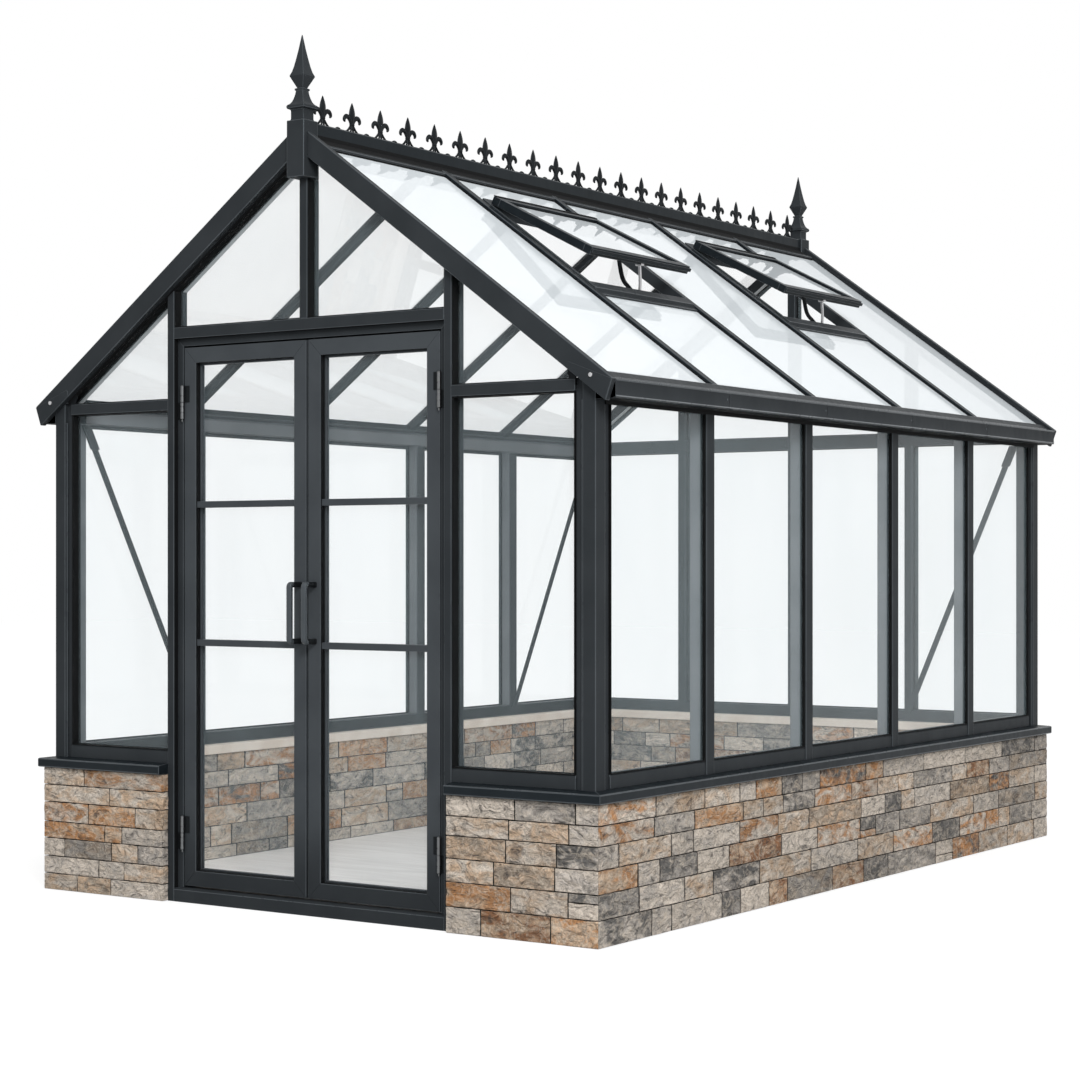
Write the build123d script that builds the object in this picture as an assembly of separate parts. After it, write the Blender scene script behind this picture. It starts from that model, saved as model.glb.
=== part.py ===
from build123d import *
import math
import os

# Victorian glass greenhouse on a stone-clad dwarf wall, in millimetres.
# +X is right, +Y is back and +Z is up, seen from the doors. The origin is at ground level under the centre.

# Dwarf wall, sills and floor
wall_length = 3840
wall_width = 2560
wall_height = 475
wall_thickness = 150
sill_overhang = 18
sill_height = 40
coping_height = 37
coping_overhang = 15
joint_gap = 1
floor_height = 40

# Metal frame
frame_inset = 30
frame_depth = 70
bay_count = 5
mullion_width = 60
rail_height = 48
rail_setback = 4
glass_thickness = 4
side_glass_depth = 14
end_glass_depth = 37
corner_face = 52
corner_side_face = 58
corner_flange = 33
corner_side_flange = 42
flange_setback = 12
flange_step = 3
eave_underside = 1810

# Doorway
doorway_half = 660
post_width = 32
post_depth = 75
jamb_width = 28
jamb_depth = 60
jamb_setback = 22
stop_width = 12
stop_depth = 10
threshold_top = 52
leaf_bottom = 60
leaf_top = 2072
leaf_thickness = 45
leaf_edge_gap = 5
meeting_half_gap = 5
stile_width = 57
leaf_rail_height = 62
leaf_bar_height = 24
leaf_bar_levels = (970, 1485)
leaf_bar_depth = 6
leaf_bar_inset = 3
leaf_glass_depth = 34
head_bottom = 2078
header_bottom = 2106
header_top = 2148

# Door furniture
handle_bottom = 975
handle_top = 1200
handle_reach = 65
handle_bar = 16
handle_width = 22
handle_corner = 12
handle_from_edge = 29
hinge_levels = (195, 1805)
hinge_length = 125
hinge_radius = 7.5
hinge_pin_radius = 4
hinge_bore_radius = 4.1
hinge_plate = 26
hinge_plate_thickness = 3
hinge_offset = 8
hinge_lift = 0.5
hinge_pin_short = 5

# Gables and roof
pitch = math.radians(36)
apex_level = 2842
barge_depth = 75
barge_thickness = 28
barge_end_setback = 26
rafter_depth = 80
rafter_thickness = 75
eave_reach = 1331
tie_bottom = 1840
tie_top = 1880
back_tie_bottom = 1820
back_post_width = 40
back_bay_count = 4
king_width = 34
king_setback = 1
roof_glass_top = 26
roof_bar_top = 12
roof_bar_bottom = 52
roof_bar_width = 34
roof_seat = 31
plate_upstand = 20
gutter_bottom = 1810
gutter_wall = 3
glass_overhang = 47
eave_bar_width = 26
eave_bar_top = 12
eave_bar_nose = 6

# Ridge, finials and cresting
ridge_half_width = 30
ridge_top = 2850
ridge_bottom = 2722
ridge_wing_reach = 72
ridge_wing_top = 10
ridge_block = 80
ridge_block_front = 45
ridge_block_bottom = 2650
ridge_block_top = 2855
cresting_thickness = 8
cresting_strip = 8
cresting_height = 116
cresting_count = 22
cresting_first = 1780
fleur_petal_width = 24
fleur_petal_height = 68
fleur_curl_width = 30
fleur_curl_height = 24
fleur_curl_reach = 30
fleur_curl_level = 58
fleur_band_width = 44
fleur_band_height = 8
fleur_band_level = 46
fleur_foot_width = 44
fleur_waist_width = 14
fleur_waist_level = 24

# Finial sections, as (level, width) from the bottom up.
finial_base = [(0, 58), (41, 58)]
finial_collar = [(41, 81), (55, 81)]
finial_neck = [(55, 68), (66, 50), (84, 38), (108, 32)]
finial_ring = [(108, 38), (117, 38)]
finial_spear = [(117, 24), (160, 65), (310, 3)]

# Roof vents, propped open
vent_bays = (1, 3)
vent_hinge_reach = 275
vent_foot_reach = 716
vent_trimmer = 36
vent_length = 500
vent_rail = 35
vent_depth = 32
vent_opening = math.radians(9)
vent_seat = 7
curb_top = 8
vent_side_gap = 6
curb_width = 16
stay_width = 10
stay_spacing = 20
stay_foot = 40

# Bracing
brace_width = 26
brace_thickness = 8
brace_top_drop = 5
brace_foot_drop = 15
brace_corner = 20

half_length = wall_length / 2
half_width = wall_width / 2
face_x = half_width - frame_inset
face_y = half_length - frame_inset
inner_x = face_x - frame_depth
inner_y = face_y - frame_depth
upstand_x = face_x - plate_upstand
sill_top = wall_height + sill_height
rail_top = sill_top + rail_height
bay = 2 * face_y / bay_count
mullion_lines = [-face_y + bay * k for k in range(1, bay_count)]
back_bay = 2 * face_x / back_bay_count
back_lines = [-face_x + back_bay * k for k in range(1, back_bay_count)]
slope = math.tan(pitch)
jamb_inner = doorway_half - post_width - jamb_width
leaf_front = -face_y + jamb_setback
leaf_back = leaf_front + leaf_thickness
leaf_outer = jamb_inner - leaf_edge_gap
post_inner = doorway_half - post_width
block_face = face_y + ridge_block_front
block_inner = block_face - ridge_block
glass_foot = face_x + glass_overhang


def block(x0, x1, y0, y1, z0, z1):
    """A box between two corners."""
    centre = Pos((x0 + x1) / 2, (y0 + y1) / 2, (z0 + z1) / 2)
    return centre * Box(abs(x1 - x0), abs(y1 - y0), abs(z1 - z0))


def prism_xz(points, y0, y1):
    """A polygon in the XZ plane, drawn out from y0 to y1."""
    outline = Polyline([(x, y0, z) for x, z in points], close=True)
    return extrude(make_face(outline), amount=y1 - y0, dir=(0, 1, 0))


def prism_yz(points, x0, x1):
    """A polygon in the YZ plane, drawn out from x0 to x1."""
    outline = Polyline([(x0, y, z) for y, z in points], close=True)
    return extrude(make_face(outline), amount=x1 - x0, dir=(1, 0, 0))


def roof(x, depth=0):
    """Level of the plane that lies depth below the top of the barge boards, at x."""
    return apex_level - abs(x) * slope - depth / math.cos(pitch)


def plate_ledge():
    """Level of the ledge along the inside of each eave plate, where the roof bars land."""
    return roof(upstand_x, roof_bar_bottom)


def under_roof(depth):
    """Everything under the roof plane at this depth."""
    points = [(-half_length, 0), (half_length, 0), (half_length, roof(half_length, depth))]
    points += [(0, roof(0, depth)), (-half_length, roof(half_length, depth))]
    return prism_xz(points, -wall_length, wall_length)


def end_block():
    """The square block that closes the front end of the ridge."""
    half = ridge_block / 2
    return block(-half, half, -block_face, -block_inner, ridge_block_bottom, ridge_block_top)


def both_sides(shape):
    """A shape on the right and its mirror image on the left."""
    return [shape, mirror(shape, about=Plane.YZ)]


def save(node, shapes):
    """Write the solids of one node."""
    solids = [solid for shape in shapes for solid in shape.solids()]
    whole = solids[0] if len(solids) == 1 else Compound(solids)
    export_step(whole, f"parts/{node}.step")


def masonry():
    """Floor, dwarf walls, outer sills and the inner stone coping."""
    room_x = half_width - wall_thickness
    room_y = half_length - wall_thickness
    save("floor_slab", [block(-room_x, room_x, -room_y, room_y, 0, floor_height)])
    side = block(room_x, half_width, -half_length, half_length, 0, wall_height)
    front = block(doorway_half, room_x, -half_length, -room_y, 0, wall_height)
    right_side, left_side = both_sides(side)
    save("dwarf_wall_right", [right_side])
    save("dwarf_wall_left", [left_side])
    save("dwarf_wall_front", both_sides(front))
    save("dwarf_wall_back", [block(-room_x, room_x, room_y, half_length, 0, wall_height)])

    sill_x = half_width + sill_overhang
    sill_y = half_length + sill_overhang
    end_x = inner_x - joint_gap
    side_sill = block(inner_x, sill_x, -sill_y, sill_y, wall_height, sill_top)
    front_sill = block(doorway_half, end_x, -sill_y, -inner_y, wall_height, sill_top)
    back_sill = block(-end_x, end_x, inner_y, sill_y, wall_height, sill_top)
    save("window_sills", both_sides(side_sill) + both_sides(front_sill) + [back_sill])

    coping_x = room_x - coping_overhang
    coping_y = room_y - coping_overhang
    coping_top = wall_height + coping_height
    end_x = coping_x - joint_gap
    side_coping = block(coping_x, inner_x, -inner_y, inner_y, wall_height, coping_top)
    front_coping = block(doorway_half, end_x, -inner_y, -coping_y, wall_height, coping_top)
    back_coping = block(-end_x, end_x, coping_y, inner_y, wall_height, coping_top)
    save("inner_coping", both_sides(side_coping) + both_sides(front_coping) + [back_coping])


def corner_post(end):
    """Right-hand post at the front (-1) or back (1), with a glazing flange along each wall."""
    near = end * face_y
    foot, top = sill_top, eave_underside
    post = block(face_x - corner_face, face_x, near, near - end * corner_side_face, foot, top)
    wall_face = near - end * flange_setback
    wall_back = near - end * (corner_side_face - flange_step)
    flange_edge = face_x - corner_face - corner_flange
    post += block(flange_edge, face_x - corner_face, wall_face, wall_back, foot, top)
    side_start = near - end * corner_side_face
    side_end = side_start - end * corner_side_flange
    post += block(inner_x + flange_step, face_x - flange_setback, side_start, side_end, foot, top)
    return post


def side_bays():
    """Start and end of each clear side bay between the posts and mullions."""
    corner = face_y - corner_side_face - corner_side_flange
    starts = [-corner] + [line + mullion_width / 2 for line in mullion_lines]
    ends = [line - mullion_width / 2 for line in mullion_lines] + [corner]
    return list(zip(starts, ends))


def back_bays(corner):
    """Start and end of each clear bay of the back wall, whose last bays end at the corner."""
    starts = [-corner] + [line + back_post_width / 2 for line in back_lines]
    ends = [line - back_post_width / 2 for line in back_lines] + [corner]
    return list(zip(starts, ends))


def wall_frame():
    """Posts, mullions, rails, beams and wall plates."""
    save("corner_posts", both_sides(corner_post(-1)) + both_sides(corner_post(1)))

    half = mullion_width / 2
    mullions = []
    for line in mullion_lines:
        mullions += [block(inner_x, face_x, line - half, line + half, sill_top, eave_underside)]
    save("right_mullions", mullions)
    save("left_mullions", [mirror(m, about=Plane.YZ) for m in mullions])

    rail_face = face_x - rail_setback
    rails = []
    for start, end in side_bays():
        rails += both_sides(block(inner_x, rail_face, start, end, sill_top, rail_top))
    corner = face_x - corner_face - corner_flange
    rail_y = face_y - rail_setback
    rails += both_sides(block(doorway_half, corner, -rail_y, -inner_y, sill_top, rail_top))
    for start, end in back_bays(corner):
        rails += [block(start, end, inner_y, rail_y, sill_top, rail_top)]
    save("bottom_rails", rails)

    back_posts = []
    for line in back_lines:
        half = back_post_width / 2
        post = block(line - half, line + half, inner_y, face_y, sill_top, ridge_bottom)
        back_posts += [(post & under_roof(rafter_depth)) - mirror(end_block(), about=Plane.XZ)]
    save("back_posts", back_posts)

    front_tie = block(doorway_half, inner_x, -face_y, -face_y + frame_depth, tie_bottom, tie_top)
    ties = both_sides(front_tie)
    for start, end in back_bays(inner_x):
        ties += [block(start, end, inner_y, face_y, back_tie_bottom, tie_top)]
    save("tie_beams", ties)

    ledge = plate_ledge()
    plate = [(inner_x, eave_underside), (face_x, eave_underside), (face_x, roof(face_x, roof_seat))]
    plate += [(upstand_x, roof(upstand_x, roof_seat)), (upstand_x, ledge), (inner_x, ledge)]
    save("eave_plates", both_sides(prism_xz(plate, -face_y, face_y)))


def doorway():
    """Door posts, header, king mullion, threshold and the frame that the leaves close into."""
    back = -face_y + post_depth
    post = block(post_inner, doorway_half, -face_y, back, 0, apex_level)
    save("door_posts", both_sides(post & under_roof(rafter_depth)))
    save("door_header", [block(-post_inner, post_inner, -face_y, back, header_bottom, header_top)])
    half = king_width / 2
    king = block(-half, half, -face_y + king_setback, -face_y + frame_depth, header_top, ridge_bottom)
    save("front_king_mullion", [king - end_block()])

    sill_back = -half_length + wall_thickness
    threshold = block(-post_inner, post_inner, -face_y, sill_back, 0, threshold_top)
    save("door_threshold", [threshold])

    jamb_back = leaf_front + jamb_depth
    stop_front = jamb_back - stop_depth
    stop_edge = jamb_inner - stop_width
    jamb = block(jamb_inner, post_inner, leaf_front, jamb_back, threshold_top, header_bottom)
    jamb += block(stop_edge, jamb_inner, stop_front, jamb_back, threshold_top, header_bottom)
    head_end = stop_edge - joint_gap
    head = block(-head_end, head_end, leaf_front, jamb_back, head_bottom, header_bottom)
    head_drop = head_bottom - stop_width
    head += block(-head_end, head_end, stop_front, jamb_back, head_drop, head_bottom)
    save("door_frame", both_sides(jamb) + [head])


def leaf_shapes():
    """The right-hand door leaf: frame with two glazing bars, three panes and a pull handle."""
    left, right = meeting_half_gap, leaf_outer
    leaf = block(left, right, leaf_front, leaf_back, leaf_bottom, leaf_top)
    glass_left, glass_right = left + stile_width, right - stile_width
    glass_foot, glass_head = leaf_bottom + leaf_rail_height, leaf_top - leaf_rail_height
    leaf -= block(glass_left, glass_right, leaf_front, leaf_back, glass_foot, glass_head)
    bar_front = leaf_front + leaf_bar_depth
    edges = [glass_foot]
    for level in leaf_bar_levels:
        low, high = level - leaf_bar_height / 2, level + leaf_bar_height / 2
        leaf += block(glass_left, glass_right, bar_front, leaf_back - leaf_bar_inset, low, high)
        edges += [low, high]
    edges += [glass_head]
    pane_front = leaf_front + leaf_glass_depth
    pane_back = pane_front + glass_thickness
    panes = []
    for low, high in zip(edges[0::2], edges[1::2]):
        panes += [block(glass_left, glass_right, pane_front, pane_back, low, high)]

    centre = meeting_half_gap + handle_from_edge
    x0, x1 = centre - handle_width / 2, centre + handle_width / 2
    grip = leaf_front - handle_reach
    handle = block(x0, x1, grip, leaf_front, handle_bottom, handle_top)
    outer_corners = handle.edges().filter_by(Axis.X).group_by(Axis.Y)[0]
    handle = fillet(outer_corners, handle_corner)
    inside = handle_bottom + handle_bar, handle_top - handle_bar
    handle -= block(x0, x1, grip + handle_bar, leaf_front, *inside)
    return leaf, panes, handle


def hinge_halves(level):
    """A lift-off hinge on the right: the jamb half with its pin, and the leaf half that turns on it."""
    x, y = leaf_outer + leaf_edge_gap / 2, leaf_front - hinge_offset
    half = hinge_length / 2
    plate_front = leaf_front - hinge_plate_thickness
    jamb_half = Pos(x, y, level + half / 2) * Cylinder(hinge_radius, half)
    jamb_half += block(x, jamb_inner + hinge_plate, plate_front, leaf_front, level, level + half)
    pin_length = hinge_length - hinge_pin_short
    jamb_half += Pos(x, y, level + pin_length / 2) * Cylinder(hinge_pin_radius, pin_length)
    low = level + half + hinge_lift
    high = level + hinge_length
    knuckle = Pos(x, y, (low + high) / 2) * Cylinder(hinge_radius, high - low)
    knuckle += block(leaf_outer - hinge_plate, x, plate_front, leaf_front, low, high)
    knuckle -= Pos(x, y, (low + high) / 2) * Cylinder(hinge_bore_radius, high - low)
    return jamb_half, knuckle


def door_leaves():
    """Both leaves with their glass, handles and hinges."""
    leaf, panes, handle = leaf_shapes()
    halves = [hinge_halves(level) for level in hinge_levels]
    knuckles = [knuckle for jamb_half, knuckle in halves]
    save("right_door_leaf", [leaf])
    save("right_door_glass", panes)
    save("right_door_handle", [handle])
    save("right_door_hinges", knuckles)
    save("left_door_leaf", [mirror(leaf, about=Plane.YZ)])
    save("left_door_glass", [mirror(pane, about=Plane.YZ) for pane in panes])
    save("left_door_handle", [mirror(handle, about=Plane.YZ)])
    save("left_door_hinges", [mirror(knuckle, about=Plane.YZ) for knuckle in knuckles])
    jamb_halves = []
    for jamb_half, knuckle in halves:
        jamb_halves += both_sides(jamb_half)
    save("hinge_pins", jamb_halves)


def gable_edges():
    """Rafters of both gables with the barge boards in front of them."""
    block_side = ridge_block / 2
    ledge = plate_ledge()
    heel = (roof(0, rafter_depth) - ledge) / slope
    rafter = [(block_side, roof(block_side, roof_seat)), (upstand_x, roof(upstand_x, roof_seat))]
    rafter += [(upstand_x, ledge), (heel, ledge), (block_side, roof(block_side, rafter_depth))]
    front = prism_xz(rafter, -face_y, -face_y + rafter_thickness)
    rafters = both_sides(front) + both_sides(mirror(front, about=Plane.XZ))
    save("gable_rafters", rafters)

    tail = eave_reach - barge_end_setback
    barge = [(block_side, roof(block_side)), (eave_reach, roof(eave_reach))]
    barge += [(tail, roof(tail, barge_depth)), (block_side, roof(block_side, barge_depth))]
    front = prism_xz(barge, -face_y - barge_thickness, -face_y)
    save("barge_boards", both_sides(front) + both_sides(mirror(front, about=Plane.XZ)))


def gutters():
    """An open box gutter along each eave, and the bar that holds the foot of the glass above it."""
    outer, inner = eave_reach - gutter_wall, face_x + gutter_wall
    rim = roof(eave_reach)
    back_rim = roof(inner, roof_seat)
    trough = [(face_x, gutter_bottom), (eave_reach, gutter_bottom), (eave_reach, rim), (outer, rim)]
    trough += [(outer, gutter_bottom + gutter_wall), (inner, gutter_bottom + gutter_wall)]
    trough += [(inner, back_rim), (face_x, roof(face_x, roof_seat))]
    gutter = prism_xz(trough, -face_y, face_y)
    for end in (-face_y, face_y - gutter_wall):
        stop_end = block(inner, outer, end, end + gutter_wall, gutter_bottom + gutter_wall, rim)
        gutter += stop_end & under_roof(roof_seat)
    save("gutters", both_sides(gutter))

    nose = glass_foot + eave_bar_nose
    start = glass_foot - eave_bar_width
    bar = [(start, roof(start, eave_bar_top)), (nose, roof(nose, eave_bar_top)), (nose, roof(nose, roof_seat))]
    bar += [(glass_foot, roof(glass_foot, roof_seat)), (glass_foot, roof(glass_foot, roof_glass_top))]
    bar += [(start, roof(start, roof_glass_top))]
    save("eave_bars", both_sides(prism_xz(bar, -face_y, face_y)))


def roof_bars():
    """Glazing bars of both slopes, over each line of mullions."""
    cap_end = glass_foot - eave_bar_width
    outline = [(ridge_wing_reach, roof(ridge_wing_reach, roof_bar_top))]
    outline += [(cap_end, roof(cap_end, roof_bar_top)), (cap_end, roof(cap_end, roof_glass_top))]
    outline += [(glass_foot, roof(glass_foot, roof_glass_top)), (glass_foot, roof(glass_foot, roof_seat))]
    outline += [(upstand_x, roof(upstand_x, roof_seat)), (upstand_x, plate_ledge())]
    outline += [(ridge_half_width, roof(ridge_half_width, roof_bar_bottom))]
    outline += [(ridge_half_width, roof(ridge_half_width, roof_glass_top))]
    outline += [(ridge_wing_reach, roof(ridge_wing_reach, roof_glass_top))]
    half = roof_bar_width / 2
    bars = [prism_xz(outline, line - half, line + half) for line in mullion_lines]
    save("right_roof_bars", bars)
    save("left_roof_bars", [mirror(bar, about=Plane.YZ) for bar in bars])


def ridge():
    """Ridge beam with its glazing wings and end blocks, cresting and finials."""
    wing, side = ridge_wing_reach, ridge_half_width
    outline = [(side, ridge_bottom), (side, roof(side, roof_glass_top)), (wing, roof(wing, roof_glass_top))]
    outline += [(wing, roof(wing, ridge_wing_top)), (side, roof(side, ridge_wing_top)), (side, ridge_top)]
    outline += [(-x, z) for x, z in reversed(outline)]
    save("ridge_beam", [prism_xz(outline, -block_inner, block_inner)])
    save("ridge_blocks", [end_block(), mirror(end_block(), about=Plane.XZ)])

    centre = block_face - ridge_block / 2
    finial = Pos(0, centre, ridge_block_top) * finial_shape()
    save("finials", [finial, mirror(finial, about=Plane.XZ)])
    save("ridge_cresting", [cresting()])


def frustum(sections):
    """A square stem through sections of (level, width)."""
    faces = [Pos(0, 0, level) * Rectangle(width, width) for level, width in sections]
    return loft(faces, ruled=True)


def finial_shape():
    """Square spear on a flared neck and collar, standing on level 0."""
    shape = frustum(finial_base)
    for sections in (finial_collar, finial_neck, finial_ring, finial_spear):
        shape += frustum(sections)
    return shape


def fleur(y):
    """One fleur-de-lis of the cresting, in the plane of the ridge."""
    tip = cresting_height - cresting_strip
    petal = Pos(0, tip - fleur_petal_height / 2) * Ellipse(fleur_petal_width / 2, fleur_petal_height / 2)
    curl = Ellipse(fleur_curl_width / 2, fleur_curl_height / 2)
    curls = Pos(-fleur_curl_reach, fleur_curl_level) * curl + Pos(fleur_curl_reach, fleur_curl_level) * curl
    band = Pos(0, fleur_band_level) * Rectangle(fleur_band_width, fleur_band_height)
    band_top = fleur_band_level + fleur_band_height / 2
    foot, waist = fleur_foot_width / 2, fleur_waist_width / 2
    side = [(foot, 0), (waist, fleur_waist_level), (waist, band_top)]
    stem = make_face(Polyline(*side, *[(-u, level) for u, level in reversed(side)], close=True))
    flat = petal + curls + band + stem
    base = (-cresting_thickness / 2, y, ridge_top + cresting_strip)
    upright = Plane(origin=base, x_dir=(0, 1, 0), z_dir=(1, 0, 0))
    return extrude(upright * flat, amount=cresting_thickness)


def cresting():
    """A strip along the ridge with evenly spaced fleurs-de-lis."""
    half = cresting_thickness / 2
    strip_top = ridge_top + cresting_strip
    shape = block(-half, half, -block_inner, block_inner, ridge_top, strip_top)
    step = 2 * cresting_first / (cresting_count - 1)
    for k in range(cresting_count):
        shape += fleur(-cresting_first + k * step)
    return shape


def vent_placement():
    """Plane of an open vent: origin on the hinge line, x down the sash, z out through the glass."""
    angle = pitch - vent_opening
    hinge = (vent_hinge_reach, 0, roof(vent_hinge_reach, vent_seat))
    down, out = (math.cos(angle), 0, -math.sin(angle)), (math.sin(angle), 0, math.cos(angle))
    return Plane(origin=hinge, x_dir=down, z_dir=out)


def vents():
    """Curbs in the roof, open sashes with their glass, and the stays that prop them."""
    curbs, sashes, panes, stays = [], [], [], []
    place = vent_placement()
    for index in vent_bays:
        near = -face_y + bay * index + roof_bar_width / 2
        far = -face_y + bay * (index + 1) - roof_bar_width / 2
        curbs += vent_curb(near, far)
        wide = far - near - 2 * vent_side_gap
        middle = (near + far) / 2
        outer = Box(vent_length, wide, vent_depth, align=(Align.MIN, Align.CENTER, Align.MIN))
        clear = Pos(vent_rail, 0, 0) * Box(
            vent_length - 2 * vent_rail,
            wide - 2 * vent_rail,
            vent_depth,
            align=(Align.MIN, Align.CENTER, Align.MIN),
        )
        pane = Pos(vent_rail, 0, vent_depth / 2) * Box(
            vent_length - 2 * vent_rail,
            wide - 2 * vent_rail,
            glass_thickness,
            align=(Align.MIN, Align.CENTER, Align.MIN),
        )
        sashes += [Pos(0, middle, 0) * (place * (outer - clear))]
        panes += [Pos(0, middle, 0) * (place * pane)]
        stays += vent_stays(near, far)
    save("vent_curbs", curbs)
    save("vent_frames", sashes)
    save("vent_glass", panes)
    save("vent_stays", stays)


def vent_curb(near, far):
    """Head trimmer, foot trimmer and two side curbs of one roof vent."""
    head_end, foot_start = vent_hinge_reach, vent_foot_reach
    members = []
    for x0, x1 in ((head_end - vent_trimmer, head_end), (foot_start, foot_start + vent_trimmer)):
        member = [(x0, roof(x0, curb_top)), (x1, roof(x1, curb_top))]
        member += [(x1, roof(x1, roof_bar_bottom)), (x0, roof(x0, roof_bar_bottom))]
        members += [prism_xz(member, near, far)]
    x0, x1 = head_end + joint_gap, foot_start - joint_gap
    curb = [(x0, roof(x0, curb_top)), (x1, roof(x1, curb_top))]
    curb += [(x1, roof(x1, roof_bar_bottom)), (x0, roof(x0, roof_bar_bottom))]
    members += [prism_xz(curb, near, near + curb_width), prism_xz(curb, far - curb_width, far)]
    return members


def sash_underside(x):
    """Level of the underside of an open sash at x."""
    hinge = roof(vent_hinge_reach, vent_seat)
    return hinge - (x - vent_hinge_reach) * math.tan(pitch - vent_opening)


def vent_stays(near, far):
    """Two upright stays between the foot trimmer and the bottom rail of one open sash."""
    middle = (near + far) / 2
    x0, x1 = vent_foot_reach - stay_width, vent_foot_reach
    stay = [(x0, roof(x0, stay_foot)), (x1, roof(x1, stay_foot))]
    stay += [(x1, sash_underside(x1)), (x0, sash_underside(x0))]
    starts = (middle - stay_spacing / 2 - stay_width, middle + stay_spacing / 2)
    return [prism_xz(stay, start, start + stay_width) for start in starts]


def wall_glass():
    """Panes of the four walls and both gables."""
    outer = face_x - side_glass_depth
    panes = []
    for start, end in side_bays():
        panes += [block(outer - glass_thickness, outer, start, end, rail_top, eave_underside)]
    save("right_glass", panes)
    save("left_glass", [mirror(pane, about=Plane.YZ) for pane in panes])

    front = -face_y + end_glass_depth
    corner = face_x - corner_face - corner_flange
    glass_back = front + glass_thickness
    window = block(doorway_half, corner, front, glass_back, rail_top, tie_bottom)
    cheek = block(doorway_half, inner_x, front, glass_back, tie_top, ridge_bottom)
    light = block(king_width / 2, post_inner, front, glass_back, header_top, ridge_bottom)
    panes = both_sides(window)
    for upper in (cheek, light):
        panes += both_sides(upper & under_roof(rafter_depth))
    save("front_glass", panes)

    back = face_y - end_glass_depth - glass_thickness
    panes = []
    for start, end in back_bays(corner):
        panes += [block(start, end, back, back + glass_thickness, rail_top, back_tie_bottom)]
    for start, end in back_bays(inner_x):
        upper = block(start, end, back, back + glass_thickness, tie_top, ridge_bottom)
        panes += [upper & under_roof(rafter_depth)]
    save("back_glass", panes)


def roof_glass():
    """Panes of both slopes, leaving the two vent openings clear."""
    top, foot = ridge_block / 2, glass_foot
    edges = [-face_y] + mullion_lines + [face_y]
    left, right = [], []
    for index in range(bay_count):
        near = edges[index] + (roof_bar_width / 2 if index else 0)
        far = edges[index + 1] - (roof_bar_width / 2 if index < bay_count - 1 else 0)
        whole = roof_pane(top, foot, near, far)
        left += [mirror(whole, about=Plane.YZ)]
        if index in vent_bays:
            right += [roof_pane(top, vent_hinge_reach - vent_trimmer, near, far)]
            right += [roof_pane(vent_foot_reach + vent_trimmer, foot, near, far)]
        else:
            right += [whole]
    save("left_roof_glass", left)
    save("right_roof_glass", right)


def roof_pane(x0, x1, near, far):
    """A pane of the right-hand slope between x0 and x1."""
    low = roof_glass_top + glass_thickness
    outline = [(x0, roof(x0, roof_glass_top)), (x1, roof(x1, roof_glass_top))]
    outline += [(x1, roof(x1, low)), (x0, roof(x0, low))]
    return prism_xz(outline, near, far)


def diagonal(start, end):
    """Outline of a flat bar between two points of a wall plane."""
    run = (brace_width / 2) * math.hypot(end[0] - start[0], end[1] - start[1]) / abs(end[1] - start[1])
    outline = [(start[0] - run, start[1]), (start[0] + run, start[1])]
    return outline + [(end[0] + run, end[1]), (end[0] - run, end[1])]


def braces():
    """Flat diagonal braces inside the end bays of the left wall and the right bay of the back wall."""
    top, foot = eave_underside - brace_top_drop, rail_top - brace_foot_drop
    wall_end = inner_y - brace_corner
    first, last = mullion_lines[0], mullion_lines[-1]
    outlines = [diagonal((-wall_end, top), (first, foot)), diagonal((wall_end, top), (last, foot))]
    bars = [prism_yz(outline, -inner_x, -inner_x + brace_thickness) for outline in outlines]
    outline = diagonal((inner_x - brace_corner, top), (back_lines[-1], foot))
    bars += [prism_xz(outline, inner_y - brace_thickness, inner_y)]
    save("wall_braces", bars)


os.makedirs("parts", exist_ok=True)
masonry()
wall_frame()
doorway()
door_leaves()
gable_edges()
gutters()
roof_bars()
ridge()
vents()
wall_glass()
roof_glass()
braces()
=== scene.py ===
import math
import random

import bmesh
import bpy
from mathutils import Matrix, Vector, noise


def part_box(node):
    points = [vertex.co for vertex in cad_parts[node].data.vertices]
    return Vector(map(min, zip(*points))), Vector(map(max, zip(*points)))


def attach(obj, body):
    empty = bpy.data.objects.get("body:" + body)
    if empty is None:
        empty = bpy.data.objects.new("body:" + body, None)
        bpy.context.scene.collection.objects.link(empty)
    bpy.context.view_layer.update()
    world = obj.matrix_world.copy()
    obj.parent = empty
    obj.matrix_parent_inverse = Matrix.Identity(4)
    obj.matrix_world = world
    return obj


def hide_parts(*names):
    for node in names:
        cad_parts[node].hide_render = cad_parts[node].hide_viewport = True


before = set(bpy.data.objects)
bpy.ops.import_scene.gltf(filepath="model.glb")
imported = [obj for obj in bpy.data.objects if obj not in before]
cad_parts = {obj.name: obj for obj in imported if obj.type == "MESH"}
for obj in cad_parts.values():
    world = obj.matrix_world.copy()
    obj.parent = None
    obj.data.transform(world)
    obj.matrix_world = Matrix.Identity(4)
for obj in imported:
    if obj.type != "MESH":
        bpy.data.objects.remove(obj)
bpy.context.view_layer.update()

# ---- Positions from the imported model, in metres ----
SILL_LOW, SILL_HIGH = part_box("window_sills")
MULLION_LOW, MULLION_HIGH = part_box("right_mullions")
WALL_LOW, WALL_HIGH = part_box("dwarf_wall_right")
COPING_LOW, COPING_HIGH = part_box("inner_coping")
RIDGE_LOW, RIDGE_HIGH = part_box("ridge_beam")
BLOCK_LOW, BLOCK_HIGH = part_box("ridge_blocks")
HEADER_LOW, HEADER_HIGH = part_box("door_header")
LEAF_LOW, LEAF_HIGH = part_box("right_door_leaf")
PANE_LOW, PANE_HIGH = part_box("right_door_glass")
FRAME_LOW, FRAME_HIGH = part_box("door_frame")
HANDLE_LOW, HANDLE_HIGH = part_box("right_door_handle")
TIE_LOW, TIE_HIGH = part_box("tie_beams")
BARGE_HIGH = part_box("barge_boards")[1]
THRESHOLD_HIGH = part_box("door_threshold")[1]
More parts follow.
